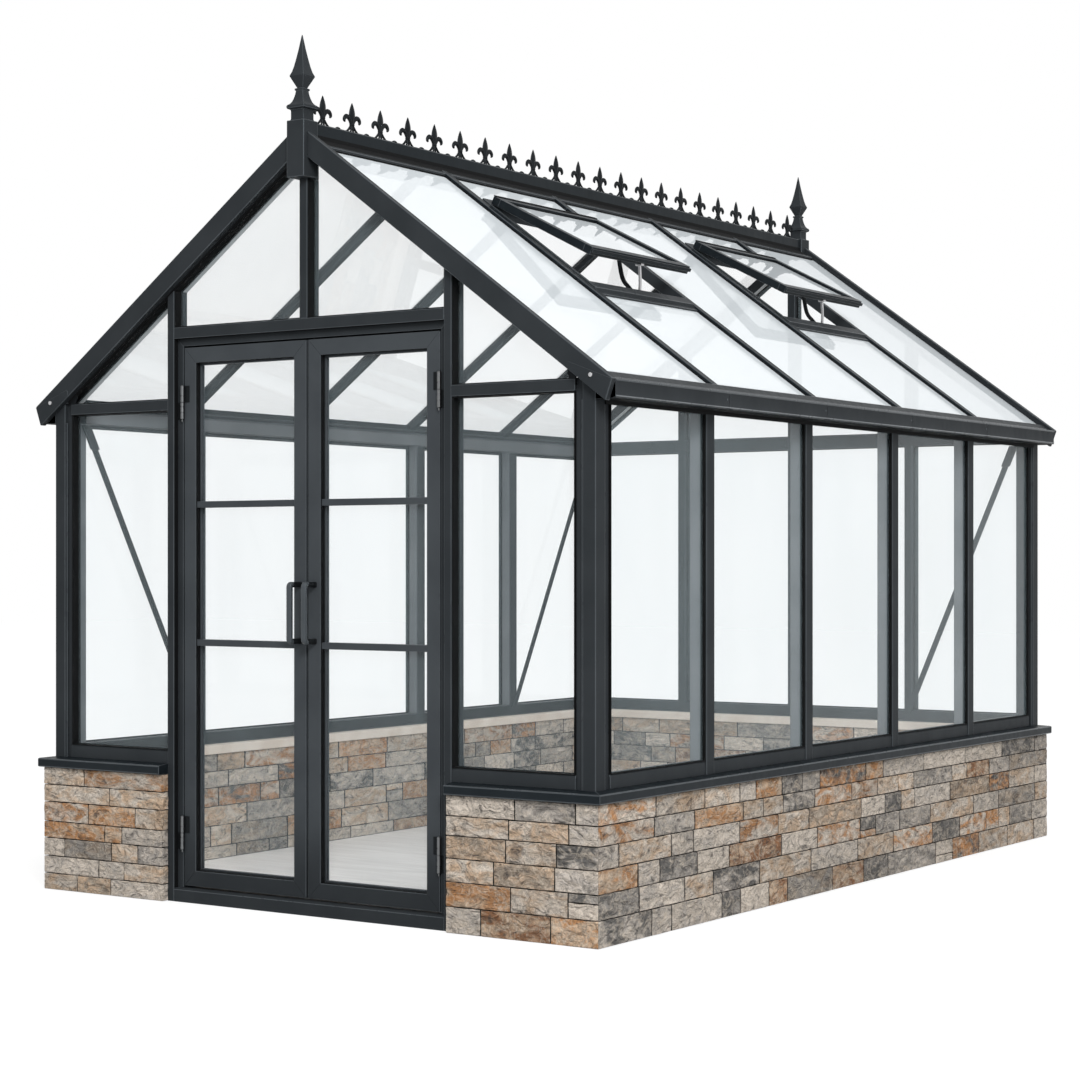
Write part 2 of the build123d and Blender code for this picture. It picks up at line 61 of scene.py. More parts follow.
FACE_X, FACE_Y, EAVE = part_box("corner_posts")[1]
DOOR_X, DOOR_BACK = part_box("door_posts")[1].xy
FLOOR_Y, FLOOR_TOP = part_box("floor_slab")[1].yz
GUTTER_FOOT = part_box("gutters")[0].z
HINGE_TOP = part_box("right_door_hinges")[1].z
RAIL_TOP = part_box("bottom_rails")[1].z
SIDE_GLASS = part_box("right_glass")[1].x
FRONT_GLASS = -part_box("front_glass")[0].y
BACK_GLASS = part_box("back_glass")[1].y

INNER_X, INNER_Y = MULLION_LOW.x, FACE_Y - (MULLION_HIGH.x - MULLION_LOW.x)
SILL_TOP = SILL_HIGH.z
BAY = 2 * FACE_Y / 5
SIDE_LINES = [-FACE_Y + BAY * k for k in range(1, 5)]
BACK_LINES = [-FACE_X / 2, 0.0, FACE_X / 2]
PITCH = math.radians(36)
SLOPE = math.tan(PITCH)
APEX = BARGE_HIGH.z + BLOCK_HIGH.x * SLOPE
BLOCK_INNER = BLOCK_HIGH.y - 2 * BLOCK_HIGH.x
REACH, TAIL = BARGE_HIGH.x, BARGE_HIGH.x - 0.026


def roof(x, depth=0.0):
    """Level at x of the plane that lies depth under the top of the barge boards."""
    return APEX - abs(x) * SLOPE - depth / math.cos(PITCH)


def on_roof(x, depth=0.0):
    return x, roof(x, depth)


def slope_strip(x0, x1, top, low):
    """Outline of a strip that follows the roof between two depths."""
    return [on_roof(x0, top), on_roof(x1, top), on_roof(x1, low), on_roof(x0, low)]


def rectangle(x0, x1, z0, z1):
    return [(x0, z0), (x1, z0), (x1, z1), (x0, z1)]


def about(middle, half):
    return middle - half, middle + half


def beside(x, z, *steps):
    """Points at these steps from a corner."""
    return [(x + across, z + up) for across, up in steps]


# ---- Node materials ----
# The attributes of the stones: name, output in a material, kind and field
MARKS = (("tone_a", "Color", "FLOAT_COLOR", "color"), ("tone_b", "Color", "FLOAT_COLOR", "color"),
         ("shift", "Vector", "FLOAT_VECTOR", "vector"), ("rim", "Fac", "FLOAT", "value"),
         ("deep", "Fac", "FLOAT", "value"))


class Tree:
    """The node tree of a material or the world, with short ways to add and link nodes."""

    def __init__(self, owner, target):
        owner.use_nodes = True
        self.owner, self.nt = owner, owner.node_tree
        self.nt.nodes.clear()
        self.target = self.nt.nodes.new(target)

    def add(self, kind, inputs=(), output=0, **settings):
        """Add a node, its inputs by name or in order, as values or sockets. Gives one output."""
        n = self.nt.nodes.new("ShaderNode" + kind)
        for key, value in settings.items():
            setattr(n, key, value)
        for key, value in inputs.items() if isinstance(inputs, dict) else enumerate(inputs):
            socket = n.inputs[key]
            if isinstance(value, bpy.types.NodeSocket):
                self.nt.links.new(value, socket)
            else:
                socket.default_value = (*value, 1.0) if socket.type == "RGBA" else value
        return n.outputs[output]

    def noise(self, scale, detail=3.0, stretch=None, rough=0.5, warp=0.0):
        point = self.add("Mapping", {"Vector": self.point, "Scale": stretch}) if stretch else self.point
        return self.add("TexNoise", {"Vector": point, "Scale": scale, "Detail": detail,
                                     "Roughness": rough, "Distortion": warp}, "Fac")

    def folds(self, level, *pattern, **warp):
        """Distance of a noise from a level: low along wandering lines."""
        return self.maths("ABSOLUTE", self.maths("SUBTRACT", self.noise(*pattern, **warp), level))

    def remap(self, *span, kind="LINEAR"):
        """A value taken from one span to another: the value, low, high, new low and new high."""
        return self.add("MapRange", span, interpolation_type=kind)

    def mix(self, factor, a, b):
        return self.add("Mix", {0: factor, 6: a, 7: b}, 2, data_type="RGBA")

    def paint(self, colour, *layers):
        """Tones laid over a colour, each as far as the span of its mask says."""
        for mask, span, tone in layers:
            colour = self.mix(self.remap(mask, *span), colour, tone)
        return colour

    def maths(self, operation, *values):
        return self.add("Math", values, operation=operation)

    def ray(self, *kinds):
        """One for rays of any of these kinds."""
        seen = [self.add("LightPath", output=f"Is {kind} Ray") for kind in kinds]
        while len(seen) > 1:
            seen[:2] = [self.maths("MAXIMUM", *seen[:2])]
        return seen[0]

    def bump(self, height, strength, distance, **under):
        return self.add("Bump", {"Height": height, "Strength": strength, "Distance": distance, **under})

    def principled(self, **inputs):
        return self.add("BsdfPrincipled", {key.replace("_", " "): value for key, value in inputs.items()})

    def finish(self, shader):
        self.nt.links.new(shader, self.target.inputs["Surface"])
        return self.owner

    def surface(self, **inputs):
        return self.finish(self.principled(**inputs))


def material(name):
    t = Tree(bpy.data.materials.new(name), "ShaderNodeOutputMaterial")
    t.point = t.add("TexCoord", output="Object")
    return t


def coated_metal(name, low, high, roughness, grain=1400.0, gloss=0.08, foot=0.0):
    """Powder-coated metal: satin, with a fine texture and faint handling marks, darker at its foot."""
    t = material(name)
    colour = t.paint(low, (t.noise(5.0, 4.0), (0.35, 0.65), high))
    if foot:
        level = t.add("SeparateXYZ", (t.point,), 2)
        shade = t.remap(level, 0.10, 0.42, foot, 0.0, kind="SMOOTHSTEP")
        colour = t.mix(shade, colour, (0.006, 0.007, 0.008))
    marks = t.noise(38.0, 5.0, (1.0, 1.0, 0.35))
    return t.surface(
        Base_Color=colour, Roughness=t.remap(marks, 0.3, 0.75, roughness - 0.05, roughness + 0.08),
        Normal=t.bump(t.noise(grain, 2.0), 0.03, 0.0004), Specular_IOR_Level=gloss,
        Specular_Tint=(0.80, 0.93, 1.0))


def stone_cladding():
    """Split-face stones: each has two tones of its own, marbled with veins, grit and rust, with painted highlight on
    raised veins and painted shade in the relief's hollows and creases.
    """
    t = material("split_stone")
    tone_a, tone_b, shift, rim, deep = (t.add("Attribute", output=mark[1], attribute_name=mark[0]) for mark in MARKS)
    t.point = t.add("VectorMath", (t.point, shift))
    patch = t.noise(9.0, 5.0, (1.0, 1.0, 2.2), warp=0.9)
    veins_and_relief_shading = t.noise(17.0, 9.0, (1.0, 1.0, 1.8), 0.68, 1.1)
    folds = t.folds(0.5, 15.0, 5.0, (1.0, 1.0, 1.6), warp=0.8)
    threads = t.folds(0.47, 12.0, 6.0, warp=1.3)
    grit = t.noise(190.0, 4.0, rough=0.7)
    # Veins and folds share their noises with the relief: the pale high veins are partly a painted highlight; the dark
    # low veins and fold lines are painted shade in hollows and creases.
    colour = t.paint(
        t.mix(t.remap(patch, 0.38, 0.62, kind="SMOOTHSTEP"), tone_a, tone_b),
        (veins_and_relief_shading, (0.52, 0.72), (0.80, 0.68, 0.55)),
        (veins_and_relief_shading, (0.47, 0.33, 0.0, 0.82), (0.060, 0.053, 0.049)),
        (threads, (0.0, 0.038, 0.46, 0.0), (0.84, 0.735, 0.61)),
        (folds, (0.0, 0.026, 0.26, 0.0), (0.070, 0.060, 0.052)),
        (grit, (0.34, 0.52, 0.30, 0.0), (0.10, 0.095, 0.09)),
        (grit, (0.64, 0.80, 0.0, 0.25), (0.78, 0.74, 0.68)),
        (rim, (0.5, 1.0, 0.0, 0.35), (0.68, 0.61, 0.53)),
        # Near black where deep is set: the stones' hidden sides and backs, and as painted shade the upright borders
        # of stones on faces running front to back.
        (deep, (0.0, 0.030), (0.008, 0.0075, 0.007)))
    relief = t.bump(t.remap(folds, 0.0, 0.14), 1.0, 0.008, Normal=t.bump(veins_and_relief_shading, 1.0, 0.024))
    return t.surface(Base_Color=colour, Roughness=t.remap(grit, 0.3, 0.7, 0.72, 0.92),
                     Normal=t.bump(grit, 0.35, 0.0012, Normal=relief))


def grained(name, pattern, span, tones, rough, relief=None, **more):
    """A surface of two tones with one grain, which also sets its roughness and relief."""
    t = material(name)
    grain = t.noise(*pattern)
    if relief:
        more["Normal"] = t.bump(grain, *relief)
    return t.surface(Base_Color=t.mix(t.remap(grain, *span), *tones),
                     Roughness=t.remap(grain, 0.3, 0.7, *rough), **more)


def sawn_stone():
    """Pale sawn limestone of the inner coping."""
    t = material("pale_coping")
    cloud = t.noise(7.0, 6.0, warp=0.6)
    pits = t.noise(240.0, 3.0, rough=0.65)
    colour = t.paint((0.72, 0.63, 0.54), (cloud, (0.35, 0.68), (0.84, 0.77, 0.69)),
                     (pits, (0.40, 0.24, 0.0, 0.5), (0.33, 0.28, 0.235)))
    return t.surface(Base_Color=colour, Roughness=t.remap(pits, 0.3, 0.7, 0.68, 0.84),
                     Normal=t.bump(pits, 0.35, 0.001))


def floor_stone():
    """Smooth pale floor with long faint streaks."""
    t = material("pale_floor")
    streaks = t.noise(2.2, 6.0, (1.0, 7.0, 1.0), 0.6, 0.35)
    cloud = t.noise(1.3, 3.0)
    colour = t.paint((0.86, 0.84, 0.82), (streaks, (0.36, 0.62), (0.985, 0.965, 0.945)),
                     (cloud, (0.4, 0.7, 0.0, 0.35), (0.95, 0.93, 0.91)),
                     (t.noise(300.0, 2.0), (0.36, 0.28, 0.0, 0.35), (0.76, 0.74, 0.72)))
    return t.surface(
        Base_Color=colour, Roughness=t.remap(cloud, 0.3, 0.7, 0.50, 0.62),
        Specular_IOR_Level=0.12, Normal=t.bump(streaks, 0.06, 0.001))


def window_glass(name, haze, grazing, index, tint):
    """Clear glass with a faint pale film, thicker at grazing views. Lamp light passes through."""
    t = material(name)
    smears = t.noise(3.2, 4.0, (1.0, 1.0, 0.4))
    facing = t.add("LayerWeight", {"Blend": 0.5}, "Facing")
    veil = t.maths("ADD", t.remap(facing, 0.62, 0.78, haze, grazing), t.remap(smears, 0.35, 0.75, -0.008, 0.012))
    sheet = t.principled(Base_Color=(0.992, 0.998, 1.0), Roughness=0.0, IOR=index, Transmission_Weight=1.0)
    pale = t.principled(Base_Color=tint, Roughness=0.01, IOR=index, Specular_IOR_Level=0.12)
    film = t.add("MixShader", (0.08, pale, t.add("BsdfTranslucent", ((0.90, 0.96, 1.0),))))
    misted = t.add("MixShader", (veil, sheet, film))
    clear = t.add("BsdfTransparent", ((0.985, 0.99, 0.992),))
    return t.finish(t.add("MixShader", (t.ray("Shadow", "Diffuse"), misted, clear)))


METAL = coated_metal("anthracite_coat", (0.0285, 0.0325, 0.0360), (0.0350, 0.0395, 0.0435), 0.40, gloss=0.035)
# Lighter copy of the coat for the door leaves: painted light, and darker towards their foot.
LIT_LEAF_METAL = coated_metal("anthracite_leaf_painted_light", (0.0525, 0.0590, 0.0655), (0.0630, 0.0710, 0.0780), 0.40,
                          gloss=0.05, foot=0.55)
# Darker copy of the coat for the sills, roof bar caps, ridge beam and vent sashes: painted shade.
SHADED_METAL = coated_metal("anthracite_painted_shade", (0.0080, 0.0110, 0.0135), (0.0115, 0.0150, 0.0180), 0.42,
                          gloss=0.12)
# Lighter copy of the coat for bevels, the gutter's top bead and its screws: painted highlight on edges and painted
# glints.
ARRIS_HIGHLIGHT = coated_metal("anthracite_arris_painted_highlight", (0.036, 0.041, 0.046), (0.052, 0.058, 0.064), 0.30, gloss=0.42)
CASTING = coated_metal("cast_ornament", (0.012, 0.0135, 0.015), (0.019, 0.021, 0.023), 0.34, 700.0)
# Pale colour of the gutter's lower lip: a painted highlight along it.
LIP = coated_metal("lip_painted_highlight", (0.11, 0.117, 0.124), (0.17, 0.18, 0.19), 0.30, gloss=0.45)
# Pale copies of the coat for the room sides of the frame: painted light, and a painted highlight on the rafters'
# soffits.
SIDE_LIGHT_COAT = coated_metal("side_painted_light", (0.145, 0.157, 0.168), (0.190, 0.204, 0.216), 0.45)
PLATE_LIGHT_COAT = coated_metal("plate_painted_light", (0.12, 0.13, 0.138), (0.165, 0.177, 0.187), 0.45)
SOFFIT_HIGHLIGHT_COAT = coated_metal("soffit_painted_highlight", (0.56, 0.59, 0.61), (0.66, 0.69, 0.71), 0.45)
# Black coat for the handle feet, hinge plates and flaps, gussets and vent arms: partly their own black finish, partly
# painted shade.
HANDLE = coated_metal("black_coat_and_painted_shade", (0.007, 0.008, 0.009), (0.011, 0.012, 0.013), 0.34)
# Lighter copy of the coat for the handle's grip: painted light.
GRIP = coated_metal("grip_painted_light", (0.044, 0.050, 0.056), (0.058, 0.065, 0.072), 0.32, gloss=0.35)
STONE, COPING, FLOOR = stone_cladding(), sawn_stone(), floor_stone()
JOINT = grained("dark_joint", (160.0, 5.0), (0.0, 1.0), ((0.008, 0.0075, 0.007), (0.022, 0.020, 0.018)), (0.85, 0.97),
                (0.6, 0.002))
# Black rubber for seals, also laid as thin strips in reveals, under the gutters and below the barge boards: painted
# shade.
GASKET_AND_SHADE = grained("black_gasket_and_painted_shade", (700.0, 2.0), (0.0, 1.0), ((0.0035, 0.004, 0.0045), (0.009, 0.0095, 0.010)),
                 (0.62, 0.76), Specular_IOR_Level=0.1)
WALL_GLASS = window_glass("wall_glass", 0.052, 0.50, 1.16, (0.66, 0.86, 0.93))
GABLE_GLASS = window_glass("gable_glass", 0.040, 0.50, 1.18, (0.70, 0.88, 0.95))
ROOF_GLASS = window_glass("roof_glass", 0.05, 0.82, 1.38, (0.89, 0.95, 0.985))
STEEL, BOLT = (
    grained(name, (420.0, 4.0, stretch), (0.3, 0.7), ([0.8 * c for c in tone], tone), (0.28, 0.42), (0.1, 0.0004),
            Metallic=1.0)
    for name, tone, stretch in (("hinge_steel", (0.17, 0.175, 0.18), (1.0, 1.0, 0.05)),
                                ("bolt_steel", (0.55, 0.55, 0.56), (1.0, 1.0, 1.0))))

# ---- Solids ----
AXES = {"x": (1, 2, 0), "y": (0, 2, 1), "z": (0, 1, 2)}
DOME = (1.0, -0.2), (1.0, 0.35), (0.86, 0.72), (0.55, 0.93), (0.2, 1.0)


def place_point(axis, *point):
    """A point from its two coordinates across an axis and the one along it."""
    p = [0.0, 0.0, 0.0]
    for k, value in zip(AXES[axis], point):
        p[k] = value
    return tuple(p)


def circle(sides):
    """Cosine and sine at even steps round a circle."""
    return [(math.cos(a), math.sin(a)) for a in (2 * math.pi * k / sides for k in range(sides))]


def quarter(steps):
    """Sine and cosine at even steps over a right angle."""
    return [(math.sin(a), math.cos(a)) for a in (math.pi / 2 * k / steps for k in range(steps + 1))]


class Shape:
    """Closed solids that share one mesh."""

    def __init__(self):
        self.verts, self.faces = [], []

    def loops(self, *rings, closed=False):
        """A tube through rings of equal length, with a face on each end unless it closes on itself."""
        start, count = len(self.verts), len(rings[0])
        for ring in rings:
            self.verts.extend(ring)
        for r in range(len(rings) if closed else len(rings) - 1):
            a, b = start + r * count, start + (r + 1) % len(rings) * count
            for i in range(count):
                j = (i + 1) % count
                self.faces.append((a + i, a + j, b + j, b + i))
        if not closed:
            end = len(self.verts)
            self.faces.append(tuple(range(start + count - 1, start - 1, -1)))
            self.faces.append(tuple(range(end - count, end)))
        return self

    def prism(self, axis, outline, low, high, low_cut=0.0, high_cut=0.0):
        """An outline drawn along an axis. A cut slopes an end, by how far it moves for each metre across."""
        return self.loops(*[[place_point(axis, u, v, along + cut * u) for u, v in outline]
                            for along, cut in ((low, low_cut), (high, high_cut))])

    def box(self, x0, x1, y0, y1, z0, z1):
        return self.prism("z", rectangle(x0, x1, y0, y1), z0, z1)

    def frame(self, axis, outer, inner, low, high, seam=0.0):
        """Mitred lengths between two outlines with as many corners each, with a seam between them."""
        for i in range(len(outer)):
            j = (i + 1) % len(outer)
            s = (Vector(outer[j]) - Vector(outer[i])).normalized() * seam / 2
            corners = (outer[i], 1), (outer[j], -1), (inner[j], -1), (inner[i], 1)
            self.prism(axis, [(p[0] + k * s.x, p[1] + k * s.y) for p, k in corners], low, high)
        return self

    def ring(self, axis, outline, width, low, high):
        """A flat band inside the edge of a convex outline, in mitred lengths."""
        return self.frame(axis, outline, inset(outline, width), low, high)

    def turned(self, centre, profile, sides=20, closed=False):
        """A turned shape on an upright axis, from a profile of (radius, level)."""
        x, y = centre
        return self.loops(*[[(x + r * c, y + r * s, z) for c, s in circle(sides)] for r, z in profile],
                          closed=closed)

    def dome(self, axis, place, face, direction, radius, height=0.0035):
        """A button-headed screw on a face, pointing out of it."""
        u, v = place
        return self.loops(*[[place_point(axis, u + radius * share * c, v + radius * share * s,
                                         face + direction * rise * height) for c, s in circle(14)]
                            for share, rise in DOME])

    def rod(self, path, y, half_y, half):
        """A flat rod that follows a path of (x, z) at one y."""
        rings = []
        for i, (x, z) in enumerate(path):
            (x0, z0), (x1, z1) = path[max(i - 1, 0)], path[min(i + 1, len(path) - 1)]
            size = math.hypot(x1 - x0, z1 - z0)
            nx, nz = -(z1 - z0) / size * half, (x1 - x0) / size * half
            rings.append([(x + k * nx, y + m * half_y, z + k * nz)
                          for k, m in ((-1, -1), (1, -1), (1, 1), (-1, 1))])
        return self.loops(*rings)

    def mirrored(self, axis="x"):
        """A copy on the other side of the building."""
        signs = [-1 if name == axis else 1 for name in "xyz"]
        other = Shape()
        other.verts = [tuple(s * c for s, c in zip(signs, v)) for v in self.verts]
        other.faces = [tuple(reversed(f)) for f in self.faces]
        return other

    def join(self, *others):
        for other in others:
            start = len(self.verts)
            self.verts.extend(other.verts)
            self.faces.extend(tuple(i + start for i in f) for f in other.faces)
        return self

    def both(self, axis="x"):
        """This shape with its mirror image."""
        return self.join(self.mirrored(axis))

    def four(self):
        return self.both("x").both("y")


def inset(outline, width):
    """A convex outline moved inwards."""
    sides = list(zip(outline, outline[1:] + outline[:1]))
    turn = 1.0 if sum(a[0] * b[1] - b[0] * a[1] for a, b in sides) > 0 else -1.0
    lines, points = [], []
    for a, b in sides:
        d = Vector((b[0] - a[0], b[1] - a[1])).normalized()
        lines.append((Vector(a) + Vector((-d.y, d.x)) * turn * width, d))
    for k in range(len(lines)):
        (p, d), (q, e) = lines[k - 1], lines[k]
        s = ((q.x - p.x) * e.y - (q.y - p.y) * e.x) / (d.x * e.y - d.y * e.x)
        points.append((p.x + d.x * s, p.y + d.y * s))
    return points


def scene_object(name, data):
    ob = bpy.data.objects.new(name, data)
    bpy.context.scene.collection.objects.link(ob)
    return ob


def piece(name, shape, node="", coat=METAL, bevel=0.0026, segments=3, body="building",
          smooth=False, square=True):
    """A finished piece from a shape, in place of a CAD node if one is named.

    Its arrises are rounded, unless it's smooth; on metal their bevels take a lighter colour, a painted highlight.
    Without square, the edges of its mitres stay sharp."""
    mesh = bpy.data.meshes.new(name)
    mesh.from_pydata(shape.verts, [], shape.faces)
    b = bmesh.new()
    b.from_mesh(mesh)
    bmesh.ops.recalc_face_normals(b, faces=b.faces)
    if not square:
        weight = b.edges.layers.float.new("bevel_weight_edge")
        for edge in b.edges:
            edge[weight] = float(all(max(abs(c) for c in face.normal) > 0.9 for face in edge.link_faces))
    b.to_mesh(mesh)
    b.free()
    mesh.materials.append(coat)
    ob = scene_object(name, mesh)
    if bevel and not smooth:
        # Metal bevels take the lighter arris colour: a painted highlight along the edges.
        if coat in (METAL, LIT_LEAF_METAL, SHADED_METAL):
            mesh.materials.append(ARRIS_HIGHLIGHT)
        m = ob.modifiers.new("arris", "BEVEL")
        m.width, m.segments, m.angle_limit = bevel, segments, math.radians(35)
        m.limit_method = "ANGLE" if square else "WEIGHT"
        m.use_clamp_overlap = m.harden_normals = True
        m.material = len(mesh.materials) - 1
    if smooth or bevel:
        mesh.polygons.foreach_set("use_smooth", [True] * len(mesh.polygons))
        mesh.set_sharp_from_angle(angle=math.radians(32 if smooth else 30))
    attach(ob, body)
    if node:
        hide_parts(node)
    return ob


# ---- Stone walls ----
COURSES = (0.092, 0.085, 0.080, 0.078, 0.068, 0.072)
LEFT_COURSES = (0.064, 0.067, 0.070, 0.064, 0.076, 0.067, 0.067)
LEAST_COURSE = 0.012
FRONT_WIDTHS = (0.10, 0.15, 0.18, 0.20, 0.22, 0.25, 0.28, 0.31, 0.35)
SIDE_WIDTHS = (0.14, 0.19, 0.24, 0.28, 0.32, 0.35, 0.40)
LEAST_WIDTH = 0.09
SPLIT_HEIGHT, SPLIT_WIDTH, SPLIT_SHARE = 0.075, 0.24, 0.12
STONE_DEPTH, CORE_RECESS = 0.022, 0.012
STONE_GAP, BED_GAP, CORNER_GAP = 0.0046, 0.0030, 0.0004
RIM, RIM_DEPTH, MOST_RELIEF, SWELL = 0.0024, 0.0026, 0.0045, 0.022
FINE, COARSE = 0.0078, 0.012
TILT_ALONG, TILT_UP, STAND = 0.008, 0.02, 0.0012
RIDGES, LUMPS, GRAIN, CHIPS, WANDER = 0.0028, 0.0026, 0.0014, 0.0006, 0.0016
UPRIGHT_SHADE, GROUND, TINY = 0.035, 0.01, 1e-6
BEIGE, LIGHT_GREY, MID_GREY = (0.80, 0.705, 0.605), (0.605, 0.545, 0.485), (0.355, 0.326, 0.296)
DARK_GREY, RUSSET = (0.120, 0.116, 0.110), (0.34, 0.155, 0.065)
TAN, RUST, TAUPE = (0.66, 0.475, 0.325), (0.55, 0.265, 0.105), (0.38, 0.305, 0.235)
TONES = [pair for count, *pair in (
    (4, BEIGE, TAN), (6, BEIGE, LIGHT_GREY), (5, MID_GREY, DARK_GREY), (5, MID_GREY, LIGHT_GREY), (4, RUST, TAN),
    (3, RUST, BEIGE), (1, RUSSET, TAN), (1, DARK_GREY, RUST), (3, DARK_GREY, LIGHT_GREY), (3, TAUPE, MID_GREY),
    (2, TAUPE, TAN), (3, TAN, BEIGE), (2, BEIGE, BEIGE), (2, LIGHT_GREY, BEIGE)) for _ in range(count)]


class Cladding:
    """Rows of split-face stones in one mesh, with each stone's tones and pattern as attributes."""

    def __init__(self, seed):
        self.random = random.Random(seed)
        self.shape, self.marks = Shape(), []

    def wall(self, face, length, floor, cell, mitres, courses=COURSES, widths=FRONT_WIDTHS):
        """Clad an upright face, given as origin, direction along and direction out, from the floor up."""
        self.face, self.cell, self.widths, self.ends = face, cell, widths, ([], [])
        z = 0.0
        for height in courses:
            low, z = max(z, floor), z + height
            if z - low > LEAST_COURSE:
                self.course(length, low, z, mitres)

    def course(self, length, low, high, mitres):
        u = 0.0
        while u < length - TINY:
            width = self.random.choice(self.widths) * self.random.uniform(0.85, 1.15)
            if length - u - width < LEAST_WIDTH:
                width = length - u
            at_end = u == 0.0, u + width >= length - TINY
            levels = [low, high]
            if high - low > SPLIT_HEIGHT and width < SPLIT_WIDTH and self.random.random() < SPLIT_SHARE:
                levels.insert(1, low + (high - low) * self.random.choice((0.36, 0.64)))
            for bottom, top in zip(levels, levels[1:]):
                look = self.stone(u, u + width, bottom, top, [m * here for m, here in zip(mitres, at_end)])
                for stones, here in zip(self.ends, at_end):
                    if here:
                        stones.append((bottom, top, look))
            u += width

    def returns(self, stones, face, length, cell, mitres):
        """Turn the end stones of a wall round its corner."""
        self.face, self.cell = face, cell
        for bottom, top, look in stones:
            self.stone(0.0, length, bottom, top, mitres, look)

    def stone(self, u0, u1, z0, z1, mitres, look=None):
        """One stone. Its look is its two tones and the offset of its pattern."""
        r = self.random
        left, right = (u + k * (CORNER_GAP if m else STONE_GAP / 2) for u, k, m in zip((u0, u1), (1, -1), mitres))
        across, up = steps(left, right, self.cell), steps(z0 + BED_GAP / 2, z1 - BED_GAP / 2, self.cell)
        tilt_u, tilt_z, stand = (r.uniform(-most, most) for most in (TILT_ALONG, TILT_UP, STAND))
        if look is None:
            offset = Vector([r.uniform(-50, 50) for _ in "xyz"])
            tones, light = r.choice(TONES), r.uniform(0.91, 1.32)
            look = *(lit(tone, light) for tone in tones), offset
        nu, nz = len(across), len(up)
        start = len(self.shape.verts)
        mid_u, mid_z = (left + right) / 2, (z0 + z1) / 2
        for j, z in enumerate(up):
            for i, u in enumerate(across):
                corner = (i == 0 and mitres[0]) or (i == nu - 1 and mitres[1])
                upright, level_edge = i in (0, nu - 1) and not corner, j in (0, nz - 1)
                q = Vector((u, z, 0.0)) + look[2]
                ridge_line = 1.0 - 2.0 * abs(noise.noise(Vector((q.x * 11.0, q.y * 19.0, q.z * 19.0))))
                rough = ridge_line * RIDGES + noise.noise(q * 42.0) * LUMPS + noise.noise(q * 85.0) * GRAIN
                facet = (u - mid_u) * tilt_u + (z - mid_z) * tilt_z
                near_corner = mitres[0] if i < nu / 2 else mitres[1]
                swell = 1.0 if near_corner else min(1.0, 0.3 + min(u - left, right - u) / SWELL)
                out = 0.0 if corner else (stand + facet + rough) * swell
                side, level = u, z
                if upright or level_edge:
                    out = -RIM_DEPTH + noise.noise(q * 60.0) * CHIPS
                    wander = noise.noise(q * 35.0) * WANDER
                    level += wander if z > GROUND and level_edge else 0.0
                    side += wander if upright else 0.0
                self.add(side, level, min(out, MOST_RELIEF), look, float(upright or level_edge),
                         UPRIGHT_SHADE if upright and self.face[1][0] == 0 else 0.0)
        edge = [(i, 0) for i in range(nu)] + [(nu - 1, j) for j in range(1, nz)]
        edge += [(i, nz - 1) for i in range(nu - 2, -1, -1)] + [(0, j) for j in range(nz - 2, 0, -1)]
        back, count, faces = len(self.shape.verts), len(edge), self.shape.faces
        for i, j in edge:
            u = min(max(across[i], left + mitres[0]), right - mitres[1])
            self.add(u, up[j], -STONE_DEPTH, look, 0.0, 1.0)
        for j in range(nz - 1):
            for a in range(start + j * nu, start + j * nu + nu - 1):
                faces.append((a, a + 1, a + nu + 1, a + nu))
        for k, (i, j) in enumerate(edge):
            m, n = edge[(k + 1) % count]
            faces.append((start + n * nu + m, start + j * nu + i, back + k, back + (k + 1) % count))
        faces.append(tuple(range(back + count - 1, back - 1, -1)))
        return look

    def add(self, u, z, out, look, rim, deep):
        (x, y), along, outward = self.face
        self.shape.verts.append((x + along[0] * u + outward[0] * out, y + along[1] * u + outward[1] * out, z))
        self.marks.append((*look, (rim,), (deep,)))

    def build(self, name, node=""):
        mesh = piece(name, self.shape, node, STONE, smooth=True).data
        for k, (key, _, kind, field) in enumerate(MARKS):
            data = mesh.attributes.new(key, kind, "POINT").data
            data.foreach_set(field, [value for mark in self.marks for value in mark[k]])


def lit(tone, light):
    """A tone made lighter or darker, short of white."""
    return (*(c * min(light, 0.95 / max(tone)) for c in tone), 1.0)


def steps(low, high, cell):
    """Grid lines across a stone, close together at both edges."""
    count = max(2, round((high - low - 2 * RIM) / cell))
    return [low, *(low + RIM + (high - low - 2 * RIM) * k / count for k in range(count + 1)), high]


